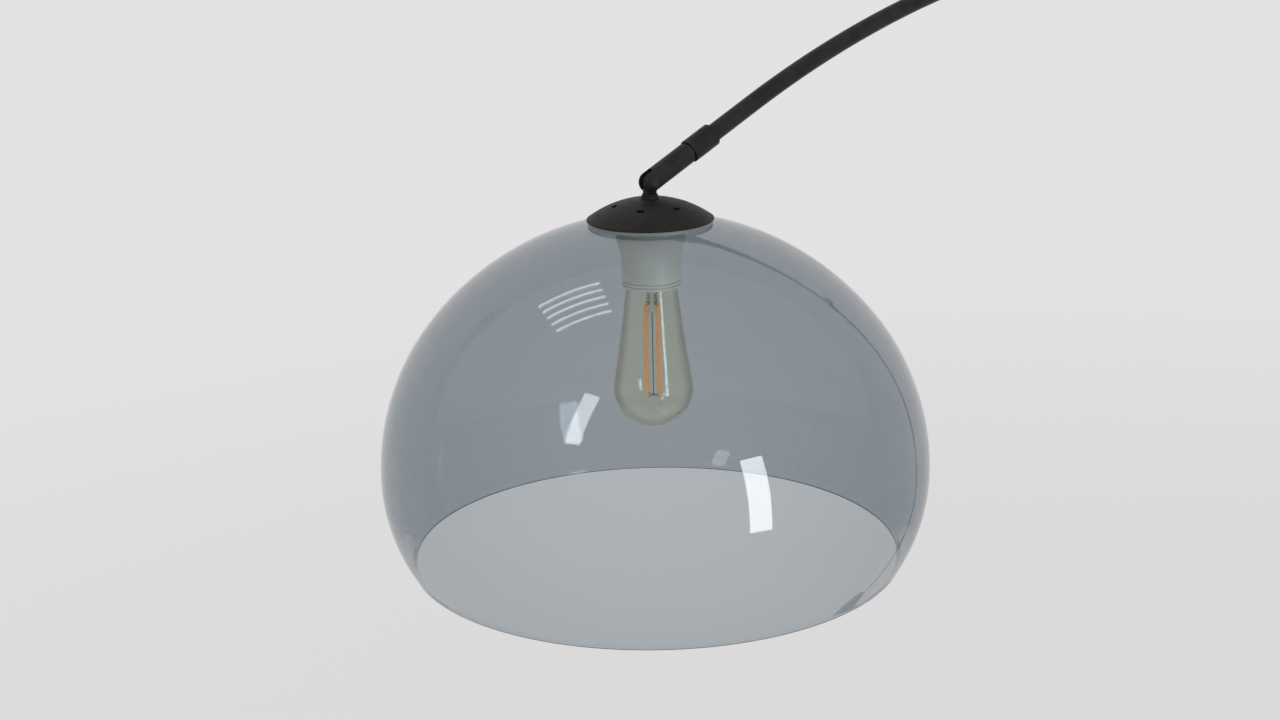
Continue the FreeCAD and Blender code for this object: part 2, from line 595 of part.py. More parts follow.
# ---------------------------------------------------------------- poles
def poles():
    screw_hole = "sizes.screw_diameter / 2 + sizes.running"
    across = frame("sizes.pole_offset", "places.clamp_middle", BACKWARD)

    keep("lower_pole", cut("lower_pole", sleeve(
        "lower_pole_tube", "sizes.lower_pole / 2", "places.lower_bore",
        "places.flange_top", "sizes.lower_top", POLE),
        [rod("lower_pole_hole", screw_hole, "sizes.lower_pole", across)]))

    ring = "sizes.upper_pole / 2 + sizes.running"
    keep("pole_guide_bush", cut("pole_guide_bush", turned("guide_blank", [
        (ring, "sizes.lower_top - sizes.guide_length"),
        ("places.lower_bore - sizes.fit", "sizes.lower_top - sizes.guide_length"),
        ("places.lower_bore - sizes.fit", "sizes.lower_top"),
        ("sizes.lower_pole / 2", "sizes.lower_top"),
        ("sizes.lower_pole / 2", "sizes.lower_top + sizes.guide_lip"),
        (ring, "sizes.lower_top + sizes.guide_lip")], POLE),
        [rod("guide_hole", screw_hole, "sizes.lower_pole", across)]))

    collar = sleeve("pole_clamp_ring", "places.clamp_outer", "sizes.lower_pole / 2 + sizes.fit",
                    "sizes.lower_top - sizes.clamp_height", "sizes.lower_top", POLE,
                    "sizes.clamp_chamfer")
    boss = rod("pole_clamp_boss", "sizes.boss_diameter / 2", "places.boss_end", across)
    keep("pole_clamp", cut("pole_clamp", joined("pole_clamp_blank", [collar, boss]), [
        rod("pole_clamp_bore", "sizes.lower_pole / 2 + sizes.fit", "sizes.clamp_height",
            frame("sizes.pole_offset", "sizes.lower_top - sizes.clamp_height")),
        rod("pole_clamp_hole", screw_hole, "places.boss_end", across)]))
    clamp_knob("height", "sizes.upper_pole / 2 + sizes.loose", "places.boss_end", across)

    keep("upper_pole", sleeve("upper_pole", "sizes.upper_pole / 2", "places.upper_bore",
                              "places.upper_bottom", "sizes.upper_top", POLE))
    shoe = "places.lower_bore - sizes.running"
    keep("slide_shoe", turned("slide_shoe", [
        ("places.upper_bore", "places.upper_bottom - sizes.shoe_lip"),
        (shoe + " - sizes.clamp_chamfer", "places.upper_bottom - sizes.shoe_lip"),
        (shoe, "places.upper_bottom - sizes.shoe_lip + sizes.clamp_chamfer"),
        (shoe, "places.upper_bottom + sizes.shoe_length"),
        ("sizes.upper_pole / 2 + sizes.fit", "places.upper_bottom + sizes.shoe_length"),
        ("sizes.upper_pole / 2 + sizes.fit", "places.upper_bottom"),
        ("places.upper_bore", "places.upper_bottom")], POLE))
    turning = "sizes.root_tube / 2 + sizes.running"
    keep("swivel_bush", turned("swivel_bush", [
        (turning, "sizes.upper_top - sizes.bush_length"),
        ("places.upper_bore - sizes.fit", "sizes.upper_top - sizes.bush_length"),
        ("places.upper_bore - sizes.fit", "sizes.upper_top"),
        ("sizes.upper_pole / 2", "sizes.upper_top"),
        ("sizes.upper_pole / 2", "sizes.upper_top + sizes.bush_lip"),
        (turning, "sizes.upper_top + sizes.bush_lip")], POLE))


# ---------------------------------------------------------------- arm
def arm():
    grub = "sizes.grub_diameter / 2"
    first_grub = "sizes.root_end_angle - sizes.grub_step_angle / 2"
    second_grub = "sizes.root_end_angle - sizes.grub_step_angle * 3 / 2"
    ring_middle = "places.ring_bottom + sizes.ring_height / 2"

    def arc_grub(name, angle, radius, length, start):
        """A screw that points at the arc's centre, through the outside of the bend."""
        away = "(sizes.arc_radius + %s)" % start
        place = frame("places.arc_centre + %s * cos(%s)" % (away, angle),
                      "places.arc_height + %s * sin(%s)" % (away, angle), "90 - (%s)" % angle)
        return rod(name, radius, length, place)

    hole_reach = "sizes.root_tube / 2"
    holes = [arc_grub("reducer_hole%d" % number, angle, grub + " + sizes.running", hole_reach,
                      "sizes.middle_tube / 4")
             for number, angle in enumerate((first_grub, second_grub), 1)]
    root = bent_tube("root_tube", "sizes.root_tube / 2", "places.root_bore", "0",
                     "sizes.root_end_angle", True, "sizes.root_spigot")
    keep("lower_arc", cut("lower_arc", root, holes))

    inner = "sizes.middle_tube / 2 + sizes.glue"
    lip_sweep = "sizes.reducer_lip / places.degree"
    tube = bent_tube("reducer_tube", "places.root_bore - sizes.glue", inner,
                     "places.middle_start", "sizes.middle_inside_angle")
    lip = bent_tube("reducer_lip", "sizes.root_tube / 2", inner, "sizes.root_end_angle", lip_sweep)
    tube_holes = [arc_grub("sleeve_hole%d" % number, angle, grub + " + sizes.running",
                           hole_reach, "sizes.middle_tube / 4")
                  for number, angle in enumerate((first_grub, second_grub), 1)]
    keep("arc_reducer", cut("arc_reducer", joined("reducer_blank", [tube, lip]), tube_holes))

    keep("yaw_ring", cut("yaw_ring", sleeve(
        "yaw_ring_blank", "sizes.root_tube / 2 + sizes.ring_wall",
        "sizes.root_tube / 2 + sizes.fit", "places.ring_bottom",
        "places.ring_bottom + sizes.ring_height", POLE, "sizes.clamp_chamfer"),
        [rod("yaw_ring_hole", grub + " + sizes.running", "sizes.root_tube",
             frame("sizes.pole_offset", ring_middle, BACKWARD))]))

    screw_start = "sizes.middle_tube / 2 + sizes.glue"
    screw_length = "sizes.root_tube / 2 - sizes.middle_tube / 2 - sizes.glue"
    keep("arm_grub_screws", group("arm_grub_screws", [
        arc_grub("arm_grub1", first_grub, grub, screw_length, screw_start),
        arc_grub("arm_grub2", second_grub, grub, screw_length, screw_start),
        rod("arm_grub3", grub, "sizes.ring_wall - sizes.clamp_chamfer",
            frame("sizes.pole_offset + sizes.root_tube / 2 + sizes.fit", ring_middle, BACKWARD))]))

    across = frame("places.collar_x", "places.collar_z", SIDEWAYS, "1; 0; 0")
    screw_hole = "sizes.screw_diameter / 2 + sizes.running"
    middle = bent_tube("middle_tube", "sizes.middle_tube / 2", "places.middle_bore",
                       "places.middle_start", "sizes.middle_end_angle - places.middle_start")
    keep("upper_arc", cut("upper_arc", middle, [
        rod("upper_arc_hole", screw_hole, "sizes.middle_tube", across)]))

    gliding = "sizes.tip_tube / 2 + sizes.glide"
    bush = bent_tube("arm_bush_tube", "places.middle_bore - sizes.glue", gliding,
                     "sizes.middle_end_angle - sizes.guide_angle", "sizes.guide_angle")
    bush_lip = bent_tube("arm_bush_lip", "sizes.middle_tube / 2", gliding, "sizes.middle_end_angle",
                         "sizes.guide_lip / places.degree")
    keep("arm_guide_bush", cut("arm_guide_bush", joined("arm_bush_blank", [bush, bush_lip]), [
        rod("arm_bush_hole", screw_hole, "sizes.middle_tube", across)]))

    collar = bent_tube("arm_collar", "places.collar_outer", "sizes.middle_tube / 2 + sizes.glue",
                       "sizes.middle_end_angle - sizes.collar_angle", "sizes.collar_angle")
    boss = cut("arm_boss", rod("arm_boss_blank", "sizes.boss_diameter / 2",
                               "places.collar_boss_end", across), [
        block("arm_boss_inside", "2 * places.collar_outer", "2 * places.collar_outer",
              "places.collar_outer - sizes.collar_wall / 2",
              across + " * " + frame("-places.collar_outer", "0", y="-places.collar_outer"))])
    keep("arm_clamp", cut("arm_clamp", joined("arm_clamp_blank", [collar, boss]), [
        rod("arm_clamp_hole", screw_hole, "places.collar_boss_end", across)]))
    clamp_knob("arm", "sizes.tip_tube / 2 + sizes.loose", "places.collar_boss_end", across)

    keep("tip_arc", bent_tube("tip_arc", "sizes.tip_tube / 2", "places.tip_bore",
                              "sizes.tip_end_angle", "sizes.tip_end_angle - places.tip_start", False,
                              "sizes.tip_straight + places.tube_end"))
    keep("tip_shoe", bent_tube("tip_shoe", "places.middle_bore - sizes.glide",
                               "sizes.tip_tube / 2 + sizes.glue", "places.tip_start",
                               "sizes.tip_shoe_angle"))


# ---------------------------------------------------------------- swivel and tilt joint
def knuckle():
    bevel = "sizes.clamp_chamfer / 2"
    outer = "sizes.socket_diameter / 2"
    bore = "sizes.tip_tube / 2 + sizes.fit"
    pin_way = "sizes.swivel_pin / 2 + sizes.running"
    socket = turned("socket_blank", [
        (bore, "places.socket_back"),
        (outer + " - " + bevel, "places.socket_back"),
        (outer, "places.socket_back + " + bevel),
        (outer, "places.socket_front - " + bevel),
        (outer + " - " + bevel, "places.socket_front"),
        (pin_way, "places.socket_front"),
        (pin_way, "places.socket_floor"),
        (bore, "places.socket_floor")], TIP)
    grub_z = "places.socket_back + sizes.socket_length / 3"
    across = TIP + " * " + frame("0", grub_z, BACKWARD)
    keep("swivel_collar", cut("swivel_collar", socket, [
        rod("socket_grub_hole", "sizes.grub_diameter / 4 + sizes.running",
            outer, across)]))
    keep("collar_grub_screw", rod(
        "collar_grub_screw", "sizes.grub_diameter / 4", outer + " - " + bore + " - " + bevel,
        TIP + " * " + frame(bore, grub_z, BACKWARD)))

    gap_middle = "places.socket_front + sizes.swivel_gap / 2"
    disc_half = "(sizes.swivel_gap / 2 - sizes.seat / 2)"
    keep("swivel_washer", sleeve("swivel_washer", "sizes.swivel_disc / 2", pin_way,
                                 "%s - %s" % (gap_middle, disc_half),
                                 "%s + %s" % (gap_middle, disc_half), TIP))

    radius = "sizes.swivel_rod / 2"
    blank = turned("rod_blank", [
        ("sizes.wire_bore / 2", "places.pin_end"),
        ("sizes.swivel_pin / 2", "places.pin_end"),
        ("sizes.swivel_pin / 2", "-sizes.rod_length"),
        (radius + " - " + bevel, "-sizes.rod_length"),
        (radius, "-sizes.rod_length + " + bevel),
        (radius, "0"),
        ("0", radius, radius),
        ("0", "-sizes.slot_depth"),
        ("sizes.wire_bore / 2", "-sizes.slot_depth")], TIP)
    slot = block("rod_slot", "sizes.swivel_rod + 2 * sizes.loose", "sizes.slot_width",
                 "sizes.slot_depth + sizes.swivel_rod",
                 TIP + " * " + frame("-sizes.swivel_rod / 2 - sizes.loose", "-sizes.slot_depth",
                                     y="-sizes.slot_width / 2"))
    axle = TIP + " * " + frame("0", "0", SIDEWAYS, "1; 0; 0", "-sizes.swivel_rod / 2")
    near = "(sizes.swivel_rod / 2 - sizes.tilt_head_height - sizes.seat)"
    socket_near = TIP + " * " + frame("0", "0", SIDEWAYS, "1; 0; 0", "-sizes.swivel_rod")
    socket_far = TIP + " * " + frame("0", "0", SIDEWAYS, "1; 0; 0", near)
    pocket = "sizes.tilt_head / 2 + sizes.fit"
    keep("swivel_rod", cut("swivel_rod", blank, [
        slot,
        rod("rod_cross_hole", "sizes.tilt_screw / 2 + sizes.fit", "sizes.swivel_rod", axle),
        rod("rod_pocket1", pocket, "sizes.swivel_rod - %s" % near, socket_near),
        rod("rod_pocket2", pocket, "sizes.swivel_rod", socket_far)]))

    keep("swivel_clip", sleeve("swivel_clip", "sizes.clip_diameter / 2",
                               "sizes.swivel_pin / 2 + sizes.fit",
                               "places.socket_floor - sizes.seat - sizes.clip_thickness",
                               "places.socket_floor - sizes.seat", TIP))

    screw = TIP + " * " + frame("0", "0", SIDEWAYS, "1; 0; 0")
    head_in = "-" + near
    keep("tilt_screw", turned("tilt_screw", [
        ("0", head_in + " - sizes.tilt_head_height"),
        ("sizes.tilt_head / 2 - sizes.clamp_chamfer / 4", head_in + " - sizes.tilt_head_height"),
        ("sizes.tilt_head / 2", head_in + " - sizes.tilt_head_height + sizes.clamp_chamfer / 4"),
        ("sizes.tilt_head / 2", head_in),
        ("sizes.tilt_screw / 2", head_in),
        ("sizes.tilt_screw / 2", near + " + sizes.tilt_head_height"),
        ("0", near + " + sizes.tilt_head_height")], screw))
    nut_place = screw + " * " + frame("0", near)
    keep("tilt_nut", cut("tilt_nut", hexagon("tilt_nut_blank", "sizes.tilt_head",
                                             "sizes.tilt_head_height", nut_place), [
        rod("tilt_nut_thread", "sizes.tilt_screw / 2 + sizes.fit", "sizes.tilt_head_height",
            nut_place)]))

    disc = "(sizes.slot_width - sizes.tongue) / 2 - 2 * sizes.running"
    discs = []
    for number, side in enumerate(("1", "-1")):
        middle = "%s * (sizes.slot_width + sizes.tongue) / 4" % side
        discs.append(sleeve("friction_disc%d" % number, "sizes.friction_disc / 2",
                            "sizes.tilt_screw / 2 + sizes.fit", "%s - (%s) / 2" % (middle, disc),
                            "%s + (%s) / 2" % (middle, disc), screw))
    keep("friction_discs", group("friction_discs", discs))


# ---------------------------------------------------------------- head
def head_top():
    width = "sizes.tongue_width"
    axle = frame("places.tilt_x", "places.tilt_z", SIDEWAYS, "1; 0; 0", "-sizes.tongue / 2")
    stem = turned("neck_blank", [
        ("0", "places.stem_end"),
        ("sizes.stem / 2", "places.stem_end"),
        ("sizes.stem / 2", "places.cap_top"),
        ("sizes.neck_flange / 2", "places.cap_top"),
        ("sizes.neck_flange / 2", "places.flange_face - sizes.clamp_chamfer / 4"),
        ("sizes.neck_flange / 2 - sizes.clamp_chamfer / 4", "places.flange_face"),
        ("sizes.neck_diameter / 2", "places.flange_face"),
        ("sizes.neck_diameter / 2", "places.neck_top - sizes.clamp_chamfer / 2"),
        ("sizes.neck_diameter / 2 - sizes.clamp_chamfer / 2", "places.neck_top"),
        ("0", "places.neck_top")], HEAD)
    tongue = block("tongue_plate", width, "sizes.tongue",
                   "places.tilt_height - places.neck_top + sizes.clamp_chamfer",
                   frame("places.tilt_x - sizes.tongue_width / 2",
                         "places.head_z + places.neck_top - sizes.clamp_chamfer",
                         y="-sizes.tongue / 2"))
    eye = rod("tongue_eye", width + " / 2", "sizes.tongue", axle)
    wire_way = rod("neck_wire_way", "sizes.stem_bore / 2",
                   "places.neck_top - places.stem_end - sizes.clamp_chamfer",
                   frame("places.tilt_x", "places.head_z + places.stem_end"))
    keep("shade_neck", cut("shade_neck", joined("neck_whole", [stem, tongue, eye]), [
        rod("tongue_hole", "sizes.tilt_screw / 2 + sizes.running", "sizes.tongue", axle),
        wire_way]))

    cap_rim = "sizes.cap_diameter / 2"
    stem_way = "sizes.stem / 2 + sizes.running"
    inner_rim = cap_rim + " - sizes.cap_wall"
    inner_flat = "(sizes.cap_flat / 2 * (1 - sizes.cap_wall / sizes.cap_radius))"
    inner_top = "(places.cap_sphere + sqrt((sizes.cap_radius - sizes.cap_wall)^2 - %s^2))" % inner_flat
    inner_edge = ("(places.cap_sphere + sqrt((sizes.cap_radius - sizes.cap_wall)^2 - (%s)^2))"
                  % inner_rim)
    cap = turned("cap_blank", [
        (stem_way, inner_top),
        (inner_flat, inner_top),
        (inner_rim, inner_edge, "-(sizes.cap_radius - sizes.cap_wall)"),
        (inner_rim, "places.cap_bottom"),
        (cap_rim, "places.cap_bottom"),
        (cap_rim, "places.cap_edge"),
        ("sizes.cap_flat / 2", "places.cap_top", "sizes.cap_radius"),
        (stem_way, "places.cap_top")], HEAD)
    vents = []
    for number in range(int(amount("sizes.vent_count"))):
        bearing = "(sizes.vent_angle + %d * 360 / sizes.vent_count)" % number
        local = frame("sizes.vent_circle / 2 * cos(%s)" % bearing, "places.cap_bottom",
                      bearing, "0; 0; 1", "sizes.vent_circle / 2 * sin(%s)" % bearing)
        corner = frame("-sizes.vent_width / 2", "0", y="-sizes.vent_length / 2")
        vents.append(block("vent%d" % number, "sizes.vent_width", "sizes.vent_length",
                           "places.cap_top - places.cap_bottom", " * ".join((HEAD, local, corner))))
    keep("shade_cap", cut("shade_cap", cap, [joined("vents", vents)]))

    seal_in = "(%s - sizes.seal_width)" % cap_rim
    dome_at = "(places.crown_z + sqrt(places.crown_radius^2 - %s^2) + sizes.fit)"
    keep("cap_gasket", turned("cap_gasket", [
        (seal_in, dome_at % seal_in),
        (seal_in, "places.cap_bottom - sizes.fit"),
        (cap_rim, "places.cap_bottom - sizes.fit"),
        (cap_rim, dome_at % ("(%s)" % cap_rim), "places.crown_radius")], HEAD))


def shade():
    hole = "sizes.shade_hole / 2"
    outer_x = "sizes.shoulder_inset * places.crown_radius / places.crown_reach"
    outer_z = "places.crown_z - places.crown_z * places.crown_radius / places.crown_reach"
    inner_x = "sizes.shoulder_inset * places.inner_crown / places.crown_reach"
    inner_z = "places.crown_z - places.crown_z * places.inner_crown / places.crown_reach"
    keep("dome_shade", turned("dome_shade", [
        (hole, "places.hole_inner"),
        (inner_x, inner_z, "-places.inner_crown"),
        ("places.dome - sizes.shade_wall", "0", "-(places.shoulder_radius - sizes.shade_wall)"),
        ("places.rim_inner", "-sizes.rim_drop", "-(places.skirt_radius - sizes.shade_wall)"),
        ("places.rim", "-sizes.rim_drop"),
        ("places.dome", "0", "places.skirt_radius"),
        (outer_x, outer_z, "places.shoulder_radius"),
        (hole, "places.hole_outer", "places.crown_radius")], HEAD))

    inner_at = "(places.crown_z + sqrt(places.inner_crown^2 - (%s)^2) - sizes.running)"
    seal_rim = "sizes.cup_diameter / 2"
    keep("inner_gasket", turned("inner_gasket", [
        (hole, "places.cup_top + sizes.fit"),
        (seal_rim, "places.cup_top + sizes.fit"),
        (seal_rim, inner_at % seal_rim),
        (hole, inner_at % hole, "places.inner_crown")], HEAD))


def lampholder():
    waist = "sizes.cup_waist / 2"
    inner_waist = waist + " - sizes.cup_wall"
    keep("lampholder_cup", turned("lampholder_cup", [
        ("sizes.stem / 2 + sizes.running", "places.cup_ceiling"),
        (inner_waist, "places.cup_ceiling"),
        (inner_waist, "places.cup_joint + sizes.fit"),
        (waist, "places.cup_joint + sizes.fit"),
        ("sizes.cup_diameter / 2", "places.cup_top - sizes.cup_plate / 2"),
        ("sizes.cup_diameter / 2", "places.cup_top"),
        ("sizes.stem / 2 + sizes.running", "places.cup_top")], HEAD))
    nut_place = frame("places.tilt_x", "places.head_z + places.cup_ceiling - sizes.stem_nut_height")
    keep("stem_nut", cut("stem_nut", hexagon("stem_nut_blank", "sizes.stem_nut",
                                             "sizes.stem_nut_height", nut_place), [
        rod("stem_nut_thread", "sizes.stem / 2 + sizes.fit", "sizes.stem_nut_height", nut_place)]))

    outer = "sizes.skirt_diameter / 2"
    inner = outer + " - sizes.skirt_wall"
    step = "places.thread_outer - sizes.skirt_wall"
    rows = [("sizes.skirt_mouth / 2", "places.skirt_bottom"), (outer, "places.skirt_bottom")]
    for number in (2, 5):
        low = "places.skirt_bottom + %d * sizes.groove_width" % number
        high = low + " + sizes.groove_width"
        rows += [(outer, low), (outer + " - sizes.groove_depth", low),
                 (outer + " - sizes.groove_depth", high), (outer, high)]
    rows += [
        (outer, "places.cup_joint"),
        ("places.thread_outer", "places.cup_joint"),
        ("places.thread_outer", "places.thread_top"),
        (step, "places.thread_top"),
        (step, "places.cup_joint - sizes.skirt_wall"),
        (inner, "places.cup_joint - 2 * sizes.skirt_wall"),
        (inner, "places.neck_foot"),
        ("sizes.skirt_mouth / 2", "places.neck_foot")]
    keep("lampholder_skirt", turned("lampholder_skirt", rows, HEAD))

    ledge = "places.thread_outer"
    tube = "sizes.core_skirt / 2"
    cavity = "places.shell_outer + sizes.fit"
    keep("lampholder_core", turned("lampholder_core", [
        ("0", "places.core_ceiling"),
        (cavity, "places.core_ceiling"),
        (cavity, "places.cup_joint - sizes.core_height"),
        (tube, "places.cup_joint - sizes.core_height"),
        (tube, "places.core_ledge"),
        (ledge, "places.core_ledge"),
        (ledge, "places.core_top - sizes.clamp_chamfer"),
        (ledge + " - sizes.clamp_chamfer", "places.core_top"),
        ("0", "places.core_top")], HEAD))
    keep("screw_shell", sleeve("screw_shell", "places.shell_outer", "places.shell_inner",
                               "places.cup_joint - sizes.core_height",
                               "places.core_ceiling - sizes.fit", HEAD))
    keep("centre_contact", turned("centre_contact", [
        ("0", "places.bulb_top + sizes.fit"),
        ("sizes.contact_disc / 4", "places.bulb_top + sizes.fit"),
        ("sizes.contact_disc / 2", "places.core_ceiling"),
        ("0", "places.core_ceiling")], HEAD))


# ---------------------------------------------------------------- bulb
def bulb():
    glass = "sizes.bulb_glass"
    waist = "places.ball / places.flank_outer"
    waist_inner = "places.inner_ball / places.flank_outer"
    neck_share = "sizes.bulb_glass / sizes.bulb_flank"
    throat_bend = "(places.neck - places.throat)"
    throat_z = "places.shell_bottom - sizes.seat"
    keep("bulb_glass", turned("bulb_glass", [
        ("0", "places.bulb_bottom"),
        ("places.flank_x * " + waist, "places.ball_z + places.flank_z * " + waist, "places.ball"),
        ("places.neck", "places.bulb_neck_height", "-sizes.bulb_flank"),
        ("places.neck", "%s - %s" % (throat_z, throat_bend)),
        ("places.throat", throat_z, throat_bend),
        ("places.throat", "places.glass_top"),
        ("places.throat - " + glass, "places.glass_top"),
        ("places.throat - " + glass, throat_z + " - " + glass),
        ("places.neck - " + glass, "%s - %s - %s" % (throat_z, throat_bend, glass),
         "-" + throat_bend),
        ("places.neck - (places.flank_x - places.neck) * " + neck_share,
         "places.bulb_neck_height - (places.flank_z - places.neck_rise) * " + neck_share),
        ("places.flank_x * " + waist_inner, "places.ball_z + places.flank_z * " + waist_inner,
         "sizes.bulb_flank + " + glass),
        ("0", "places.bulb_bottom + " + glass, "-places.inner_ball")], HEAD))

    base = "sizes.screw_base / 2"
    wall = "sizes.base_wall"
    collar = "sizes.bulb_contact / 2 + sizes.base_cone / 2"
    keep("bulb_screw_base", turned("bulb_screw_base", [
        (base + " - " + wall, "places.shell_bottom"),
        (base, "places.shell_bottom"),
        (base, "places.shell_top - sizes.base_cone / 2"),
        (collar, "places.shell_top"),
        (collar, "places.shell_top - " + wall),
        (base + " - " + wall, "places.shell_top - sizes.base_cone / 2 - " + wall)], HEAD))
    keep("bulb_insulator", turned("bulb_insulator", [
        ("0", "places.shell_top + sizes.fit"),
        (collar, "places.shell_top + sizes.fit"),
        ("sizes.bulb_contact / 2", "places.bulb_top - sizes.base_cone / 4"),
        ("0", "places.bulb_top - sizes.base_cone / 4")], HEAD))
    keep("bulb_contact", turned("bulb_contact", [
        ("0", "places.bulb_top - sizes.base_cone / 4 + sizes.fit"),
        ("sizes.bulb_contact / 2", "places.bulb_top - sizes.base_cone / 4 + sizes.fit"),
        ("sizes.bulb_contact / 4", "places.bulb_top"),
        ("0", "places.bulb_top")], HEAD))

    mount = "sizes.mount_diameter / 2"
    keep("bulb_mount", turned("bulb_mount", [
        ("0", "places.mount_end"),
        (mount, "places.mount_end + " + mount, mount),
        (mount, "places.glass_top - sizes.mount_diameter"),
        ("places.throat - sizes.bulb_glass - sizes.fit", "places.glass_top - " + glass),
        ("places.throat - sizes.bulb_glass - sizes.fit", "places.glass_top"),
        ("0", "places.glass_top")], HEAD))

    wire = "sizes.support_wire / 2"
    circle = "sizes.filament_circle / 2"
    sticks = []
    lower_z = "places.filament_bottom - %s - sizes.fit" % wire
    upper_z = "places.filament_top + %s + sizes.fit" % wire
    wires = [rod("wire_middle", wire, "places.mount_end - sizes.fit - (%s)" % lower_z,
                 HEAD + " * " + frame("0", lower_z))]
    upper_wires = []
    for number in range(int(amount("sizes.filament_count"))):
        bearing = "(sizes.filament_angle + %d * 360 / sizes.filament_count)" % number
        spin = HEAD + " * " + frame("0", "0", bearing, "0; 0; 1")
        sticks.append(rod("stick%d" % number, "sizes.filament / 2",
                          "places.filament_top - places.filament_bottom",
                          spin + " * " + frame(circle, "places.filament_bottom")))
        wires.append(rod("lower_wire%d" % number, wire, circle,
                         spin + " * " + frame("0", lower_z, BACKWARD)))
        start = "%s + sizes.fit" % mount
        upper_wires.append(rod("upper_wire%d" % number, wire, "%s - (%s)" % (circle, start),
                               spin + " * " + frame(start, upper_z, BACKWARD)))
    keep("filaments", group("filaments", sticks))
    keep("filament_anchor", joined("filament_anchor", wires))
    keep("filament_leads", group("filament_leads", upper_wires))


def check_document():
    """Stop if any object failed or any sub-part has no valid shape."""
    for item in doc.Objects:
        if "Invalid" in item.State or "Error" in item.State:
            raise RuntimeError("%s failed: %s" % (item.Name, item.State))
    for piece in PARTS:
        shape = piece.Shape
        if shape.isNull() or not shape.isValid() or not shape.Solids:
            raise RuntimeError("%s has no valid shape" % piece.Label)


foot()
poles()
arm()
knuckle()
head_top()
shade()
lampholder()
bulb()
doc.recompute()
check_document()
os.makedirs("parts", exist_ok=True)
for piece in PARTS:
    piece.Shape.exportStep("parts/%s.step" % piece.Label)
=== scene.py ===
"""Arc floor lamp with a smoked dome shade: finished pieces, finishes and studio.

Sizes are in metres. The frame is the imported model's: +Z up, origin on the floor under the foot.
Turned pieces are drawn as (radius, height) corners and spun about their own axis.
"""

import json
import math

import bpy
from bpy.props import FloatProperty, FloatVectorProperty, IntProperty, PointerProperty
from bpy.types import NodeSocket, Operator, Panel, PropertyGroup
from mathutils import Matrix, Vector


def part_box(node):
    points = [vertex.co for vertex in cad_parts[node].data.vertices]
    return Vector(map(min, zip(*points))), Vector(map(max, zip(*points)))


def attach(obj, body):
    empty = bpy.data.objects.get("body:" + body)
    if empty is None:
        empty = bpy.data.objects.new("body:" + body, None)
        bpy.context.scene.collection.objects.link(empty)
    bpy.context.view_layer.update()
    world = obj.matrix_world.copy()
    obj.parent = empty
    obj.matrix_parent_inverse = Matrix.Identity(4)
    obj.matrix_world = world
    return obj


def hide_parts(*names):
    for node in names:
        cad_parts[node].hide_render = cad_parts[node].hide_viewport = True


bl_info = {
    "name": "Arc Dome Lamp",
    "version": (1, 0, 0),
    "blender": (4, 5, 0),
    "location": "3D View > Sidebar > Arc Lamp",
    "description": "Finished pieces, finishes and studio of an arc floor lamp",
    "category": "Add Mesh",
}

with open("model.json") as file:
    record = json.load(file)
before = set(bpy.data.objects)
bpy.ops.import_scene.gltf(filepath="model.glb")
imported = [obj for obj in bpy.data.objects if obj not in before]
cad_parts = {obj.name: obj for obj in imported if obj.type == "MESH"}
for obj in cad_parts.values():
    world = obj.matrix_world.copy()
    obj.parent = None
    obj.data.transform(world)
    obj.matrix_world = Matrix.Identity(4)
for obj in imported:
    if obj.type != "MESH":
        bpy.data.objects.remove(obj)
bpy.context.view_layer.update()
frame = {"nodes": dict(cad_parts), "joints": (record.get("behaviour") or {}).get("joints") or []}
JOINTS = {joint["name"]: joint for joint in frame["joints"]}
TILT_AXIS = Vector(JOINTS["shade_tilt"]["pos_m"])
ARC_CENTRE = Vector(JOINTS["arm_extension"]["pos_m"])
POLE_X = JOINTS["arm_yaw"]["pos_m"][0]


# ---------------------------------------------------------------- settings
def size(label, note, value):
    return FloatProperty(name=label, description=note, default=value, min=0, precision=4,
                         subtype="DISTANCE", unit="LENGTH")


def turn(label, note, degrees):
    return FloatProperty(name=label, description=note, default=math.radians(degrees),
                         subtype="ANGLE", unit="ROTATION")


def count(label, note, value):
    return IntProperty(name=label, description=note, default=value, min=1)


def colour(label, note, value):
    return FloatVectorProperty(name=label, description=note, default=value, min=0, max=1,
                               size=3, subtype="COLOR")


class LAMP_PG_head(PropertyGroup):
    """Sizes of the dome, cap and neck, with heights above the dome's widest circle."""
    tilt_height: size("Tilt height", "Tilt axis above the widest circle", 0.2095)
    shade_diameter: size("Shade diameter", "Dome at its widest circle", 0.4)
    shade_top: size("Shade top", "Crown of the dome", 0.1849)
    shoulder_radius: size("Shoulder radius", "Curvature of the dome's shoulder", 0.1712)
    rim_diameter: size("Rim diameter", "Open rim of the dome", 0.362)
    rim_drop: size("Rim drop", "Rim below the widest circle", 0.0667)
    shade_wall: size("Shade wall", "Thickness of the acrylic", 0.0022)
    shade_hole: size("Shade hole", "Hole in the crown", 0.045)
    cap_diameter: size("Cap diameter", "Metal cap", 0.0906)
    cap_radius: size("Cap radius", "Curvature of the cap", 0.0763)
    cap_wall: size("Cap wall", "Sheet of the cap", 0.001)
    cap_flat: size("Cap flat", "Flat middle of the cap", 0.014)
    cap_lip: size("Cap lip", "Upright edge of the cap", 0.001)
    cap_top: size("Cap top", "Top of the cap", 0.1982)
    vent_count: count("Vents", "Number of vent slots", 6)
    vent_length: size("Vent length", "Vent slots along the cap", 0.0057)
    vent_width: size("Vent width", "Vent slots across", 0.0034)
    vent_circle: size("Vent circle", "Diameter on which the vents lie", 0.052)
    vent_turn: turn("Vent turn", "Bearing of the first vent", 38)
    neck_diameter: size("Neck diameter", "Knurled neck", 0.0118)
    flange_diameter: size("Flange diameter", "Flange under the neck", 0.0128)
    flange_height: size("Flange height", "Flange under the neck", 0.0014)


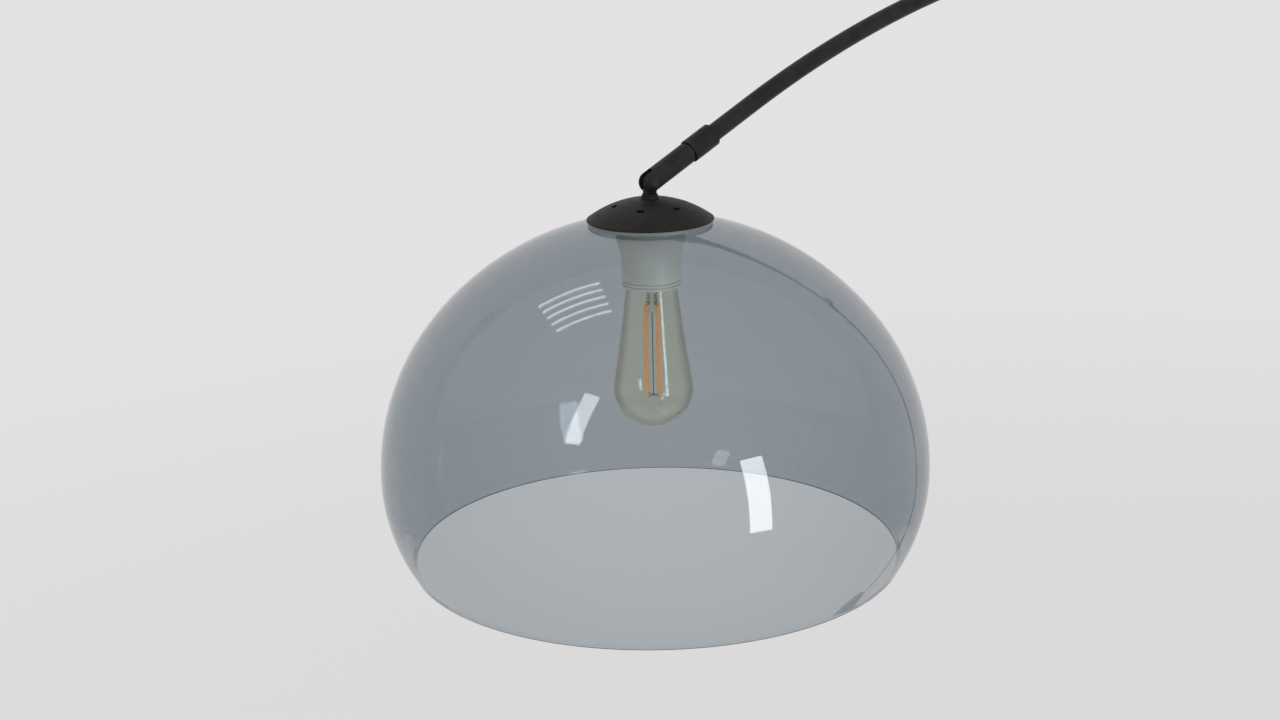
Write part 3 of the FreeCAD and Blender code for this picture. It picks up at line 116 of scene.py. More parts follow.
class LAMP_PG_bulb(PropertyGroup):
    """Sizes of the lampholder and the bulb, with heights above the dome's widest circle."""
    cup_diameter: size("Cup diameter", "Lampholder cup at the dome", 0.054)
    cup_waist: size("Cup waist", "Lampholder cup at its joint", 0.0436)
    cup_joint: size("Cup joint", "Height of the joint", 0.1566)
    skirt_diameter: size("Skirt diameter", "Lampholder skirt", 0.0422)
    skirt_bottom: size("Skirt bottom", "Lower edge of the skirt", 0.1344)
    skirt_mouth: size("Skirt mouth", "Opening for the bulb", 0.0375)
    length: size("Bulb length", "From crown to contact", 0.14)
    bottom: size("Bulb bottom", "Lowest point of the bulb", 0.0295)
    ball: size("Ball diameter", "Widest part of the bulb", 0.0574)
    neck: size("Neck diameter", "Neck of the bulb", 0.0354)
    neck_height: size("Neck height", "Where the neck begins", 0.1385)
    flank: size("Flank", "Hollow curve from the neck down to the ball", 1.2)
    throat: size("Throat diameter", "Neck inside the screw base", 0.0246)
    mount_end: size("Mount end", "Lower end of the glass mount", 0.113)
    stick_count: count("Filaments", "Number of filament sticks", 4)
    stick: size("Filament diameter", "One filament stick", 0.0022)
    stick_top: size("Filament top", "Upper ends of the sticks", 0.1204)
    stick_bottom: size("Filament bottom", "Lower ends of the sticks", 0.053)
    stick_circle: size("Filament circle", "Circle on which the sticks stand", 0.013)
    stick_turn: turn("Filament turn", "Bearing of the first stick", 3.3)


class LAMP_PG_arm(PropertyGroup):
    """Sizes of the curved arm and of the swivel at its end."""
    arc_radius: size("Arc radius", "Centreline of the arm", 0.935)
    root_tube: size("First tube", "Outer diameter", 0.022)
    root_end: turn("First tube end", "Place on the arc", 42)
    root_spigot: size("First tube spigot", "Straight stretch below the arc", 0.17)
    middle_tube: size("Second tube", "Outer diameter", 0.018)
    middle_end: turn("Second tube end", "Place on the arc", 86)
    tip_tube: size("Last tube", "Outer diameter", 0.013)
    tip_end: turn("Last tube end", "Place on the arc", 115.8)
    tip_insertion: turn("Last tube inside", "Arc of it inside the second tube", 14)
    tip_straight: size("Straight end", "From the arc to the tilt axis", 0.103)
    tube_wall: size("Tube wall", "Wall of the arm tubes", 0.0012)
    rod_diameter: size("Rod diameter", "Knuckle rod", 0.0156)
    rod_length: size("Rod length", "From the groove to the tilt axis", 0.0375)
    rod_slot: size("Rod slot", "Slot in the rod's end", 0.0052)
    slot_depth: size("Slot depth", "Slot behind the tilt axis", 0.0054)
    socket_diameter: size("Collar diameter", "Collar at the end of the arm", 0.0172)
    socket_length: size("Collar length", "Collar at the end of the arm", 0.023)
    groove: size("Groove", "Dark groove between collar and rod", 0.002)


class LAMP_PG_stand(PropertyGroup):
    """Sizes of the foot, the poles and their clamps."""
    base_diameter: size("Foot diameter", "Stone foot", 0.35)
    base_top: size("Foot top", "Top of the stone above the floor", 0.06)
    base_edge: size("Foot edge", "Rounding of the top edge", 0.005)
    flange_diameter: size("Flange diameter", "Steel disc on the foot", 0.088)
    flange_top: size("Flange top", "Top of the steel disc", 0.066)
    lower_pole: size("Lower pole", "Outer diameter", 0.035)
    lower_top: size("Lower pole top", "Above the floor", 0.68)
    upper_pole: size("Upper pole", "Outer diameter", 0.028)
    upper_top: size("Upper pole top", "Above the floor", 0.81)
    insertion: size("Insertion", "Upper pole inside the lower one", 0.32)
    pole_wall: size("Pole wall", "Wall of both poles", 0.0015)
    knob_diameter: size("Knob diameter", "Clamp knobs", 0.03)
    knob_thickness: size("Knob thickness", "Clamp knobs", 0.014)
    flute_count: count("Flutes", "Grip flutes of a knob", 8)


class LAMP_PG_finish(PropertyGroup):
    """Colours of the finishes and of the studio."""
    tube_black: colour("Tube black", "Satin black of arm and poles", (0.020, 0.020, 0.0215))
    cap_black: colour("Cap black", "Matte paint of the cap", (0.0125, 0.0122, 0.0100))
    smoke: colour("Smoke", "What the acrylic lets through per unit", (0.162, 0.276, 0.343))
    holder_cream: colour("Cream", "Lampholder plastic", (0.92, 0.89, 0.79))
    filament_orange: colour("Filament", "Coating of the filaments", (0.90, 0.36, 0.045))
    stone_black: colour("Stone", "Polished stone of the foot", (0.011, 0.011, 0.012))
    vein_white: colour("Vein", "Veins of the stone", (0.42, 0.41, 0.39))
    backdrop: colour("Backdrop", "Pale studio background", (0.775, 0.76, 0.765))


# ---------------------------------------------------------------- shared measures
QUARTER = math.pi / 2
SLIP = 0.00002  # gap between a ring and the tube that it grips
STEM_WAY = 0.00505  # radius of the holes for the neck's hollow stem
PIN_WAY = 0.00405  # radius of the holes for the swivel rod's pin
SCREW_WAY = 0.00302  # radius of the bore of a clamp knob
COLLAR = 0.0045  # how far the pole's collars stand out from the lower pole
KNOB_GAP = 0.0012  # gap between a knob and the boss behind it


# ---------------------------------------------------------------- modelling helpers
def select_none():
    bpy.ops.object.select_all(action="DESELECT")


def mode(name):
    bpy.ops.object.mode_set(mode=name)


def select_only(piece):
    select_none()
    piece.select_set(True)
    bpy.context.view_layer.objects.active = piece


def modify(piece, kind, **values):
    """Add one modifier, set it and apply it."""
    select_only(piece)
    bpy.ops.object.modifier_add(type=kind)
    modifier = piece.modifiers[-1]
    for name, value in values.items():
        setattr(modifier, name, value)
    bpy.ops.object.modifier_apply(modifier=modifier.name)


def carve(piece, cutters, how="DIFFERENCE"):
    for cutter in cutters:
        modify(piece, "BOOLEAN", object=cutter, operation=how, solver="EXACT")
        bpy.data.meshes.remove(cutter.data)


def soften(piece, width, limit=40, segments=2):
    modify(piece, "BEVEL", width=width, segments=segments, limit_method="ANGLE",
           angle_limit=math.radians(limit), harden_normals=False)


def joined(name, pieces):
    select_none()
    for piece in pieces:
        piece.select_set(True)
    bpy.context.view_layer.objects.active = pieces[0]
    bpy.ops.object.join()
    pieces[0].name = name
    return pieces[0]


def seat(piece, place):
    """Move a piece to its place, and keep that place in its mesh."""
    select_only(piece)
    piece.matrix_world = place @ piece.matrix_world
    bpy.ops.object.transform_apply(location=True, rotation=True, scale=True)
    return piece


def added(name, place=None):
    """Name the primitive that was just added, and keep its place in its mesh."""
    piece = bpy.context.object
    piece.name = name
    return seat(piece, place or Matrix())


def up(height):
    return Matrix.Translation((0, 0, height))


def close_spun(gap):
    """Close the seam of a spun mesh, face it outwards and leave edit mode."""
    bpy.ops.mesh.select_all(action="SELECT")
    bpy.ops.mesh.remove_doubles(threshold=gap)
    bpy.ops.mesh.normals_make_consistent(inside=False)
    mode("OBJECT")


def outline_points(outline, step):
    """All points of an outline: a third number in a row is the signed radius of its bend."""
    points = []
    for number, row in enumerate(outline):
        corner = Vector(row[:2])
        if len(row) > 2 and number:
            before = Vector(outline[number - 1][:2])
            along = corner - before
            aside = Vector((-along.y, along.x)).normalized()
            rise = math.sqrt(max(row[2] ** 2 - along.length_squared / 4, 0))
            centre = (before + corner) / 2 + aside * math.copysign(rise, row[2])
            first = math.atan2(before.y - centre.y, before.x - centre.x)
            last = math.atan2(corner.y - centre.y, corner.x - centre.x)
            sweep = (last - first + math.pi) % math.tau - math.pi
            steps = max(2, math.ceil(abs(math.degrees(sweep)) / step))
            for part in range(1, steps):
                angle = first + sweep * part / steps
                points.append(centre + abs(row[2]) * Vector((math.cos(angle), math.sin(angle))))
        points.append(corner)
    return points


def turned(name, outline, place=None, steps=96, step=6, closed=True):
    """Draw half a section corner by corner and spin it about local Z."""
    points = outline_points(outline + [outline[0]] if closed else outline, step)
    select_none()
    bpy.ops.mesh.primitive_plane_add(size=0.001)
    piece = bpy.context.object
    piece.name = name
    mode("EDIT")
    bpy.ops.mesh.select_mode(type="VERT")
    bpy.ops.mesh.select_all(action="SELECT")
    bpy.ops.mesh.merge(type="CENTER")
    bpy.ops.transform.translate(value=(points[0].x, 0, points[0].y))
    for before, after in zip(points, points[1:]):
        bpy.ops.mesh.extrude_vertices_move(
            TRANSFORM_OT_translate={"value": (after.x - before.x, 0, after.y - before.y)})
    bpy.ops.mesh.select_all(action="SELECT")
    bpy.ops.mesh.spin(steps=steps, angle=math.tau, center=(0, 0, 0), axis=(0, 0, 1))
    close_spun(2e-6)
    return seat(piece, place or Matrix())


def lower_edge(radius, height, ease):
    """The rounded outer corner at the lower end of an outline."""
    return [(radius - ease, height), (radius, height + ease, ease)]


def upper_edge(radius, height, ease):
    """The rounded outer corner at the upper end of an outline."""
    return [(radius, height - ease), (radius - ease, height, ease)]


def sleeve(name, outer, bore, bottom, top, place, ease, steps=96):
    """A turned ring with its outer edges eased."""
    return turned(name, [(bore, bottom), *lower_edge(outer, bottom, ease),
                         *upper_edge(outer, top, ease), (bore, top)], place, steps)


def drum(name, radius, depth, place, vertices=48):
    """A solid drum along local Z, its lower face at the place's origin."""
    select_none()
    bpy.ops.mesh.primitive_cylinder_add(vertices=vertices, radius=radius, depth=depth,
                                        location=(0, 0, depth / 2))
    return added(name, place)


def brick(name, dimensions, middle, place, heading=0):
    select_none()
    bpy.ops.mesh.primitive_cube_add(size=1, location=middle, rotation=(0, 0, heading),
                                    scale=dimensions)
    return added(name, place)


def pick_edges(piece, wanted):
    """Select the edges whose two ends satisfy a test, and stay in edit mode."""
    select_only(piece)
    mode("EDIT")
    bpy.ops.mesh.select_mode(type="EDGE")
    bpy.ops.mesh.select_all(action="DESELECT")
    mode("OBJECT")
    corners = piece.data.vertices
    for edge in piece.data.edges:
        edge.select = wanted(*(corners[number].co for number in edge.vertices))
    mode("EDIT")


def bevel_edges(piece, wanted, width, segments):
    """Round the edges whose two ends satisfy a test."""
    pick_edges(piece, wanted)
    bpy.ops.mesh.bevel(offset=width, segments=segments)
    mode("OBJECT")


def bent_tube(name, radius, wall, at, sweep, straight):
    """A tube along the arm's arc from the angle "at", with a straight end behind its start."""
    ahead = math.copysign(1, sweep)
    select_none()
    bpy.ops.mesh.primitive_circle_add(
        vertices=48, radius=radius, location=(settings("arm").arc_radius, 0, -ahead * straight))
    piece = added(name)
    mode("EDIT")
    bpy.ops.mesh.select_all(action="SELECT")
    if straight:
        bpy.ops.mesh.extrude_region_move(
            TRANSFORM_OT_translate={"value": (0, 0, ahead * straight)})
    bpy.ops.mesh.spin(steps=96, angle=sweep, center=(0, 0, 0), axis=(0, 1, 0))
    close_spun(1e-6)
    modify(piece, "SOLIDIFY", thickness=wall, offset=-1, use_even_offset=True)
    return seat(piece, on_arc(at))


def wire(name, points, radius, place):
    """A smooth round wire through the given points."""
    select_none()
    bpy.ops.curve.primitive_nurbs_path_add()
    strand = bpy.context.object
    spline = strand.data.splines[0]
    spline.points.add(max(0, len(points) - len(spline.points)))
    for number, knot in enumerate(spline.points):
        knot.co = (*points[min(number, len(points) - 1)], 1)
    spline.order_u = 3
    spline.use_endpoint_u = True
    spline.resolution_u = 6
    strand.data.bevel_depth = radius
    strand.data.bevel_resolution = 2
    strand.data.use_fill_caps = True
    bpy.ops.object.convert(target="MESH")
    return added(name, place)


def settings(group):
    return getattr(bpy.context.scene, "lamp_" + group)


def head_place():
    return Matrix.Translation(TILT_AXIS) @ up(-settings("head").tilt_height)


def tip_place():
    """Origin on the tilt axis, local Z along the arm's straight end."""
    return Matrix.Translation(TILT_AXIS) @ Matrix.Rotation(-settings("arm").tip_end, 4, "Y")


def on_arc(angle):
    """At the arc's centre, local X towards the arm at this angle."""
    return Matrix.Translation(ARC_CENTRE) @ Matrix.Rotation(-angle, 4, "Y")


def pole_place(height=0.0):
    return Matrix.Translation((POLE_X, 0, height))


def finished(piece, body, finish, node, angle=32):
    """Give a piece its finish and its body, and hide the CAD node that it stands for."""
    select_only(piece)
    bpy.ops.object.shade_smooth_by_angle(angle=math.radians(angle))
    piece.data.materials.clear()
    piece.data.materials.append(finish_for(finish))
    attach(piece, body)
    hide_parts(node)


# ---------------------------------------------------------------- finishes
def feed(tree, socket, value):
    """Link a socket to another node's output, or set its value."""
    if isinstance(value, NodeSocket):
        tree.links.new(value, socket)
    else:
        socket.default_value = value


def add(tree, kind, options=None, **sockets):
    """Add one shader node: options are its own settings, the rest feed its inputs."""
    node = tree.nodes.new("ShaderNode" + kind)
    for name, value in (options or {}).items():
        setattr(node, name, value)
    for name, value in sockets.items():
        feed(tree, node.inputs[name.replace("_", " ")], value)
    return node


def calculated(tree, operation, first, second):
    """The result of one Math node."""
    node = add(tree, "Math", {"operation": operation})
    feed(tree, node.inputs[0], first)
    feed(tree, node.inputs[1], second)
    return node.outputs[0]


def blended(tree, factor, first, second):
    """Two shaders mixed, the second where the factor is one."""
    node = add(tree, "MixShader", Fac=factor)
    tree.links.new(first.outputs[0], node.inputs[1])
    tree.links.new(second.outputs[0], node.inputs[2])
    return node


def ramp(tree, factor, *stops):
    """Colours along a factor, given as (position, colour) stops."""
    node = add(tree, "ValToRGB", Fac=factor)
    for element, (position, shade) in zip(node.color_ramp.elements, stops):
        element.position = position
        element.color = (*shade, 1) if isinstance(shade, tuple) else (shade, shade, shade, 1)
    return node.outputs["Color"]


def own_place(tree):
    return add(tree, "TexCoord").outputs["Object"]


def noise(tree, scale, detail):
    return add(tree, "TexNoise", Vector=own_place(tree), Scale=scale, Detail=detail).outputs["Fac"]


def relief(tree, height, strength, depth):
    """The surface's normal, tipped by a height pattern."""
    return add(tree, "Bump", Height=height, Strength=strength, Distance=depth).outputs["Normal"]


def shade_of(base, factor):
    return tuple(min(1, channel * factor) for channel in base)


def new_finish(name):
    """An empty material and its node tree."""
    finish = bpy.data.materials.new(name)
    finish.use_nodes = True
    finish.node_tree.nodes.clear()
    return finish, finish.node_tree


def coated(name, base, rough, grain, depth, spread=0.25, metal=0.0, level=0.5, sheen=0.0):
    """An opaque finish: cloudy colour, uneven gloss and a fine grain."""
    finish, tree = new_finish(name)
    cloud = noise(tree, grain / 12, 4)
    skin = add(
        tree, "BsdfPrincipled", Metallic=metal, Specular_IOR_Level=level, Sheen_Weight=sheen,
        Base_Color=ramp(tree, cloud, (0.3, shade_of(base, 1 - spread)),
                        (0.7, shade_of(base, 1 + spread))),
        Roughness=ramp(tree, cloud, (0.25, rough * 0.85), (0.75, min(1.0, rough * 1.18))),
        Normal=relief(tree, noise(tree, grain, 2), 0.6, depth))
    add(tree, "OutputMaterial", Surface=skin.outputs[0])
    return finish


def smoked_acrylic():
    """Clear-cast smoked acrylic: it bends and mirrors light at its faces and dims it inside."""
    finish, tree = new_finish("smoked_acrylic")
    bending = 1.49
    mirror = add(tree, "BsdfGlossy", Color=(1, 1, 1, 1), Roughness=0.025,
                 Normal=relief(tree, noise(tree, 9, 1), 0.25, 0.0015))
    through = add(tree, "BsdfRefraction", Color=(1, 1, 1, 1), Roughness=0.0, IOR=bending)
    wall = blended(tree, add(tree, "Fresnel", IOR=bending).outputs["Fac"], through, mirror)
    passing = add(tree, "BsdfTransparent", Color=(0.95, 0.95, 0.95, 1))
    seen = blended(tree, add(tree, "LightPath").outputs["Is Shadow Ray"], wall, passing)
    tint = add(tree, "VolumeAbsorption", Color=(*settings("finish").smoke, 1), Density=300)
    add(tree, "OutputMaterial", Surface=seen.outputs[0], Volume=tint.outputs[0])
    return finish


def thin_glass(name, face, edge):
    """Thin blown glass: nearly clear where it faces the eye, tinted and bright at its edges."""
    finish, tree = new_finish(name)
    facing = add(tree, "LayerWeight", Blend=0.5).outputs["Facing"]
    clear = add(tree, "BsdfTransparent", Color=ramp(tree, facing, (0.35, face), (0.92, edge)))
    mirror = add(tree, "BsdfGlossy", Color=(1, 1, 1, 1), Roughness=0.02,
                 Normal=relief(tree, noise(tree, 60, 1), 0.2, 0.0006))
    amount = add(tree, "MapRange", Value=calculated(tree, "POWER", facing, 4), To_Min=0.1,
                 To_Max=0.9)
    skin = blended(tree, amount.outputs[0], clear, mirror)
    add(tree, "OutputMaterial", Surface=skin.outputs[0])
    return finish


def black_marble():
    """Polished black stone with fine white veins at two scales."""
    finish, tree = new_finish("black_marble")
    shades = settings("finish")
    where = own_place(tree)
    drift = add(tree, "TexNoise", Vector=where, Scale=5, Detail=5, Roughness=0.6)
    moved = add(tree, "VectorMath", {"operation": "MULTIPLY_ADD"})
    for socket, value in zip(moved.inputs, (drift.outputs["Color"], (0.35, 0.35, 0.35), where)):
        feed(tree, socket, value)
    large, small = (add(tree, "TexVoronoi", {"feature": "DISTANCE_TO_EDGE"},
                        Vector=moved.outputs["Vector"], Scale=scale).outputs["Distance"]
                    for scale in (4.5, 15))
    veins = calculated(tree, "MAXIMUM", ramp(tree, large, (0.0, 1.0), (0.02, 0.0)),
                       ramp(tree, small, (0.0, 0.35), (0.012, 0.0)))
    fading = ramp(tree, noise(tree, 7, 3), (0.42, 0.0), (0.62, 1.0))
    tone = ramp(tree, calculated(tree, "MULTIPLY", veins, fading),
                (0.0, tuple(shades.stone_black)), (1.0, tuple(shades.vein_white)))
    skin = add(tree, "BsdfPrincipled", Base_Color=tone,
               Roughness=ramp(tree, noise(tree, 25, 3), (0.3, 0.10), (0.7, 0.17)),
               Normal=relief(tree, noise(tree, 700, 2), 0.15, 0.00002))
    add(tree, "OutputMaterial", Surface=skin.outputs[0])
    return finish


def filament_coating():
    """Orange silicone with the faint beads of the chips under it, and a painted glow: a weak
    emission, though the bulb is unlit.
    """
    finish, tree = new_finish("filament_coating")
    base = tuple(settings("finish").filament_orange)
    beads = add(tree, "TexWave", {"bands_direction": "Z"}, Vector=own_place(tree), Scale=160,
                Distortion=0.4).outputs["Fac"]
    tone = ramp(tree, beads, (0.2, shade_of(base, 0.9)), (0.8, shade_of(base, 1.1)))
    # The emission below is a painted glow: the filaments give light though the bulb is off.
    skin = add(tree, "BsdfPrincipled", Base_Color=tone, Roughness=0.45,
               Normal=relief(tree, beads, 0.3, 0.0001),
               Emission_Color=(1.0, 0.36, 0.05, 1), Emission_Strength=0.25)
    add(tree, "OutputMaterial", Surface=skin.outputs[0])
    return finish


# Opaque finishes: the colour or its setting's name, roughness, fineness and depth of the grain,
# and what else differs from a plain coat.
COATS = {
    "satin_black": ("tube_black", 0.33, 900, 0.00002, {"level": 0.09}),
    "cap_paint": ("cap_black", 0.5, 1400, 0.00005, {"level": 0.12}),
    "dark_steel": ((0.03, 0.03, 0.032), 0.34, 600, 0.00002, {"metal": 0.8}),
    "zinc_steel": ((0.55, 0.55, 0.54), 0.3, 500, 0.00003, {"metal": 1.0}),
    "nylon": ((0.022, 0.022, 0.023), 0.45, 800, 0.00003, {}),
    "knob_plastic": ((0.017, 0.017, 0.018), 0.5, 1600, 0.00006, {}),
    "rubber": ((0.02, 0.02, 0.02), 0.7, 900, 0.00005, {}),
    "felt": ((0.03, 0.03, 0.03), 0.95, 1500, 0.0003, {"sheen": 0.5}),
    "cream_plastic": ("holder_cream", 0.32, 500, 0.00002, {"spread": 0.04}),
    "core_plastic": ((0.8, 0.78, 0.73), 0.55, 700, 0.00004, {"spread": 0.06}),
    "brass": ((0.72, 0.52, 0.24), 0.28, 500, 0.00003, {"metal": 1.0}),
    "solder": ((0.6, 0.6, 0.6), 0.35, 700, 0.00005, {"metal": 1.0}),
    "aluminium": ((0.74, 0.72, 0.68), 0.3, 500, 0.00003, {"metal": 1.0}),
    "black_glass": ((0.01, 0.01, 0.01), 0.12, 300, 0.00002, {}),
    "lead_wire": ((0.16, 0.14, 0.12), 0.35, 900, 0.00002, {"metal": 1.0}),
    "milky_seal": ((0.2, 0.215, 0.22), 0.4, 600, 0.00003, {"spread": 0.08, "level": 0.25}),
}
# Thin glasses: the tint where they face the eye, and at their edges.
GLASSES = {
    "bulb_glass": ((1.0, 0.985, 0.87), (0.56, 0.49, 0.33)),
    "mount_glass": ((0.93, 0.93, 0.9), (0.5, 0.5, 0.46)),
}
# Materials made so far, one for each finish.
MADE = {}


def finish_for(name):
    """One shared material for each finish, made when it is first asked for."""
    if name not in MADE:
        if name in COATS:
            base, *grain, others = COATS[name]
            if isinstance(base, str):
                base = tuple(getattr(settings("finish"), base))
            MADE[name] = coated(name, base, *grain, **others)
        elif name in GLASSES:
            MADE[name] = thin_glass(name, *GLASSES[name])
        else:
            MADE[name] = {"smoked_acrylic": smoked_acrylic, "black_marble": black_marble,
                          "filament_coating": filament_coating}[name]()
    return MADE[name]


# ---------------------------------------------------------------- pieces of the head
def dome_shape():
    """The dome's derived radii: crown radius and height, skirt radius and centre."""
    s = settings("head")
    half, shoulder = s.shade_diameter / 2, s.shoulder_radius
    crown = ((half - shoulder) ** 2 + s.shade_top ** 2 - shoulder ** 2) / (
        2 * (s.shade_top - shoulder))
    rim = s.rim_diameter / 2
    skirt = ((half - rim) ** 2 + s.rim_drop ** 2) / (2 * (half - rim))
    return crown, s.shade_top - crown, skirt, half - skirt


def crown_height(radius, inset=0.0):
    crown, centre = dome_shape()[:2]
    return centre + math.sqrt((crown - inset) ** 2 - radius ** 2)


class LAMP_OT_dome(Operator):
    """Turn the smoked dome shade with its polished rim"""
    bl_idname = "lamp.dome"
    bl_label = "Dome shade"

    def execute(self, context):
        s = settings("head")
        crown, centre, skirt, skirt_x = dome_shape()
        half, wall, hole, edge = s.shade_diameter / 2, s.shade_wall, s.shade_hole / 2, 0.0006
        shoulder_x = half - s.shoulder_radius
        reach = math.hypot(shoulder_x, centre)
        inside = crown - wall
        outer, inner = ((shoulder_x * radius / reach, centre - centre * radius / reach)
                        for radius in (crown, inside))
        rim_in = skirt_x + math.sqrt((skirt - wall) ** 2 - s.rim_drop ** 2)
        rim, low = s.rim_diameter / 2, -s.rim_drop
        piece = turned("dome", [
            (hole, crown_height(hole, wall)), (*inner, -inside),
            (half - wall, 0, -(s.shoulder_radius - wall)), (rim_in, low + edge, -(skirt - wall)),
            (rim_in + edge, low, edge), *lower_edge(rim, low, edge),
            (half, 0, skirt), (*outer, s.shoulder_radius), (hole, crown_height(hole), crown)],
            head_place(), steps=192, step=2)
        finished(piece, "head", "smoked_acrylic", "dome_shade", angle=60)
        return {"FINISHED"}


class LAMP_OT_cap(Operator):
    """Turn the cap, cut its vent slots, line it and lay the seal under its edge"""
    bl_idname = "lamp.cap"
    bl_label = "Cap and seal"

    def execute(self, context):
        s, place = settings("head"), head_place()
        rim, wall, flat = s.cap_diameter / 2, s.cap_wall, s.cap_flat / 2
        ball = s.cap_top - math.sqrt(s.cap_radius ** 2 - flat ** 2)
        edge = ball + math.sqrt(s.cap_radius ** 2 - rim ** 2)
        bottom = edge - s.cap_lip
        thin = s.cap_radius - wall
        inner_flat = flat * thin / s.cap_radius
        inner_top = ball + math.sqrt(thin ** 2 - inner_flat ** 2)
        inner_edge = ball + math.sqrt(thin ** 2 - (rim - wall) ** 2)
        ease, brow, brow_below, brow_above = 0.0003, 0.0004, 0.0002, 0.00012
        cap = turned("cap", [
            (STEM_WAY, inner_top), (inner_flat, inner_top), (rim - wall, inner_edge, -thin),
            (rim - wall, bottom), *lower_edge(rim, bottom, ease),
            (rim, edge - brow_below), (rim - brow, edge + brow_above, brow),
            (flat, s.cap_top, s.cap_radius), (STEM_WAY, s.cap_top)], place, steps=192, step=3)
        cutters = []
        for number in range(s.vent_count):
            bearing = s.vent_turn + number * math.tau / s.vent_count
            middle = (math.cos(bearing) * s.vent_circle / 2, math.sin(bearing) * s.vent_circle / 2,
                      (s.cap_top + bottom) / 2)
            slot = brick("slot", (s.vent_width, s.vent_length, s.cap_top - bottom), middle,
                         place, bearing)
            bevel_edges(slot, lambda a, b: abs(a.x - b.x) + abs(a.y - b.y) < 1e-6,
                        s.vent_width * 0.42, 5)
            cutters.append(slot)
        carve(cap, [joined("slots", cutters)])
        wide, sheet, sag = flat * 5, 0.0006, 0.0002
        lining = turned("lining", [
            (STEM_WAY, s.shade_top + sheet), (wide, s.shade_top - sag), (wide, s.shade_top),
            (STEM_WAY, s.shade_top + 2 * sheet)], place)
        finished(joined("cap", [cap, lining]), "head", "cap_paint", "shade_cap")

        inset, lip, upper = rim - 0.0026, rim - 0.0008, bottom - 0.00004
        seal = turned("seal", [
            (inset, crown_height(inset)), (inset, upper), (lip - ease, upper),
            (lip, bottom - ease, ease), (lip, crown_height(lip), dome_shape()[0])],
            place, steps=144)
        finished(seal, "head", "milky_seal", "cap_gasket")
        return {"FINISHED"}


class LAMP_OT_neck(Operator):
    """Make the neck: stem, flange, knurled grip and the tongue of the tilt joint"""
    bl_idname = "lamp.neck"
    bl_label = "Knurled neck"

    def execute(self, context):
        s, place = settings("head"), head_place()
        rod, stem_radius = settings("arm").rod_diameter / 2, 0.005
        core, bead, ease = 0.0005, 0.0004, 0.0003
        low, high = s.cap_top + s.flange_height, s.tilt_height - rod - 0.0005
        grip, flange = s.neck_diameter / 2, s.flange_diameter / 2
        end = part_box("shade_neck")[0].z - place.translation.z
        stem = turned("stem", [
            (0, end), (stem_radius, end), (stem_radius, s.cap_top), (flange, s.cap_top),
            *upper_edge(flange, low, ease), (grip - core, low),
            *upper_edge(grip - core, high, bead), (0, high)],
            place, steps=64, closed=False)
        knurl = drum("knurl", grip - ease, high - low - 0.0009, place @ up(low + ease), 28)
        pick_edges(knurl, lambda a, b: abs(a.z - b.z) > 1e-4)
        bpy.ops.mesh.subdivide(number_cuts=3)
        bpy.ops.mesh.select_mode(type="FACE")
        bpy.ops.mesh.select_all(action="DESELECT")
        mode("OBJECT")
        for face in knurl.data.polygons:
            face.select = abs(face.normal.z) < 0.5
        mode("EDIT")
        bpy.ops.mesh.inset(thickness=0.00022, depth=0.00024, use_individual=True)
        mode("OBJECT")
        half, foot, top = 0.0048, high - 0.001, s.tilt_height + 0.0048
        tongue = brick("tongue", (2 * half, 0.004, top - foot), (0, 0, (top + foot) / 2), place)
        crest = place.translation.z + top - 1e-4
        bevel_edges(tongue, lambda a, b: min(a.z, b.z) > crest and abs(a.y - b.y) > 1e-3,
                    half - 1e-5, 16)
        soften(tongue, ease)
        finished(joined("neck", [stem, knurl, tongue]), "head", "satin_black", "shade_neck",
                 angle=28)
        return {"FINISHED"}


class LAMP_OT_lampholder(Operator):
    """Turn the flared cup and the grooved skirt of the lampholder"""
    bl_idname = "lamp.lampholder"
    bl_label = "Lampholder"

    def execute(self, context):
        s, place = settings("bulb"), head_place()
        cup, waist, joint = s.cup_diameter / 2, s.cup_waist / 2, s.cup_joint
        top = crown_height(cup, settings("head").shade_wall) - 0.0008
        ceiling, band, ease, gap = top - 0.0024, top - 0.0012, 0.0006, 0.0001
        bore, lean = waist - 0.002, (cup - waist) / (band - joint)
        piece = turned("lampholder_top", [
            (STEM_WAY, ceiling), (bore, ceiling), (bore, joint + gap),
            (waist - ease, joint + gap), (waist + lean * ease, joint + ease, ease),
            (cup, band), *upper_edge(cup, top, ease), (STEM_WAY, top)],
            place, steps=128)
        finished(piece, "head", "cream_plastic", "lampholder_cup")

        outer, wall, low, mouth = s.skirt_diameter / 2, 0.0022, s.skirt_bottom, s.skirt_mouth / 2
        thread, thread_top, lip = bore - SLIP, joint + 0.008, 0.0004
        pitch, depth, slope = 0.0008, 0.0015, 0.0001
        rows = [(mouth, low), *lower_edge(outer, low, ease)]
        for number in (2, 5):
            bottom = low + number * pitch
            rows += [(outer, bottom), (outer - depth, bottom + slope),
                     (outer - depth, bottom + pitch - slope), (outer, bottom + pitch)]
        rows += [*upper_edge(outer, joint, lip), (thread, joint),
                 (thread, thread_top), (thread - wall, thread_top), (thread - wall, joint - wall),
                 (outer - wall, joint - 2 * wall), (outer - wall, low + wall), (mouth, low + wall)]
        piece = turned("lampholder_skirt_turned", rows, place, steps=128)
        finished(piece, "head", "cream_plastic", "lampholder_skirt")
        return {"FINISHED"}


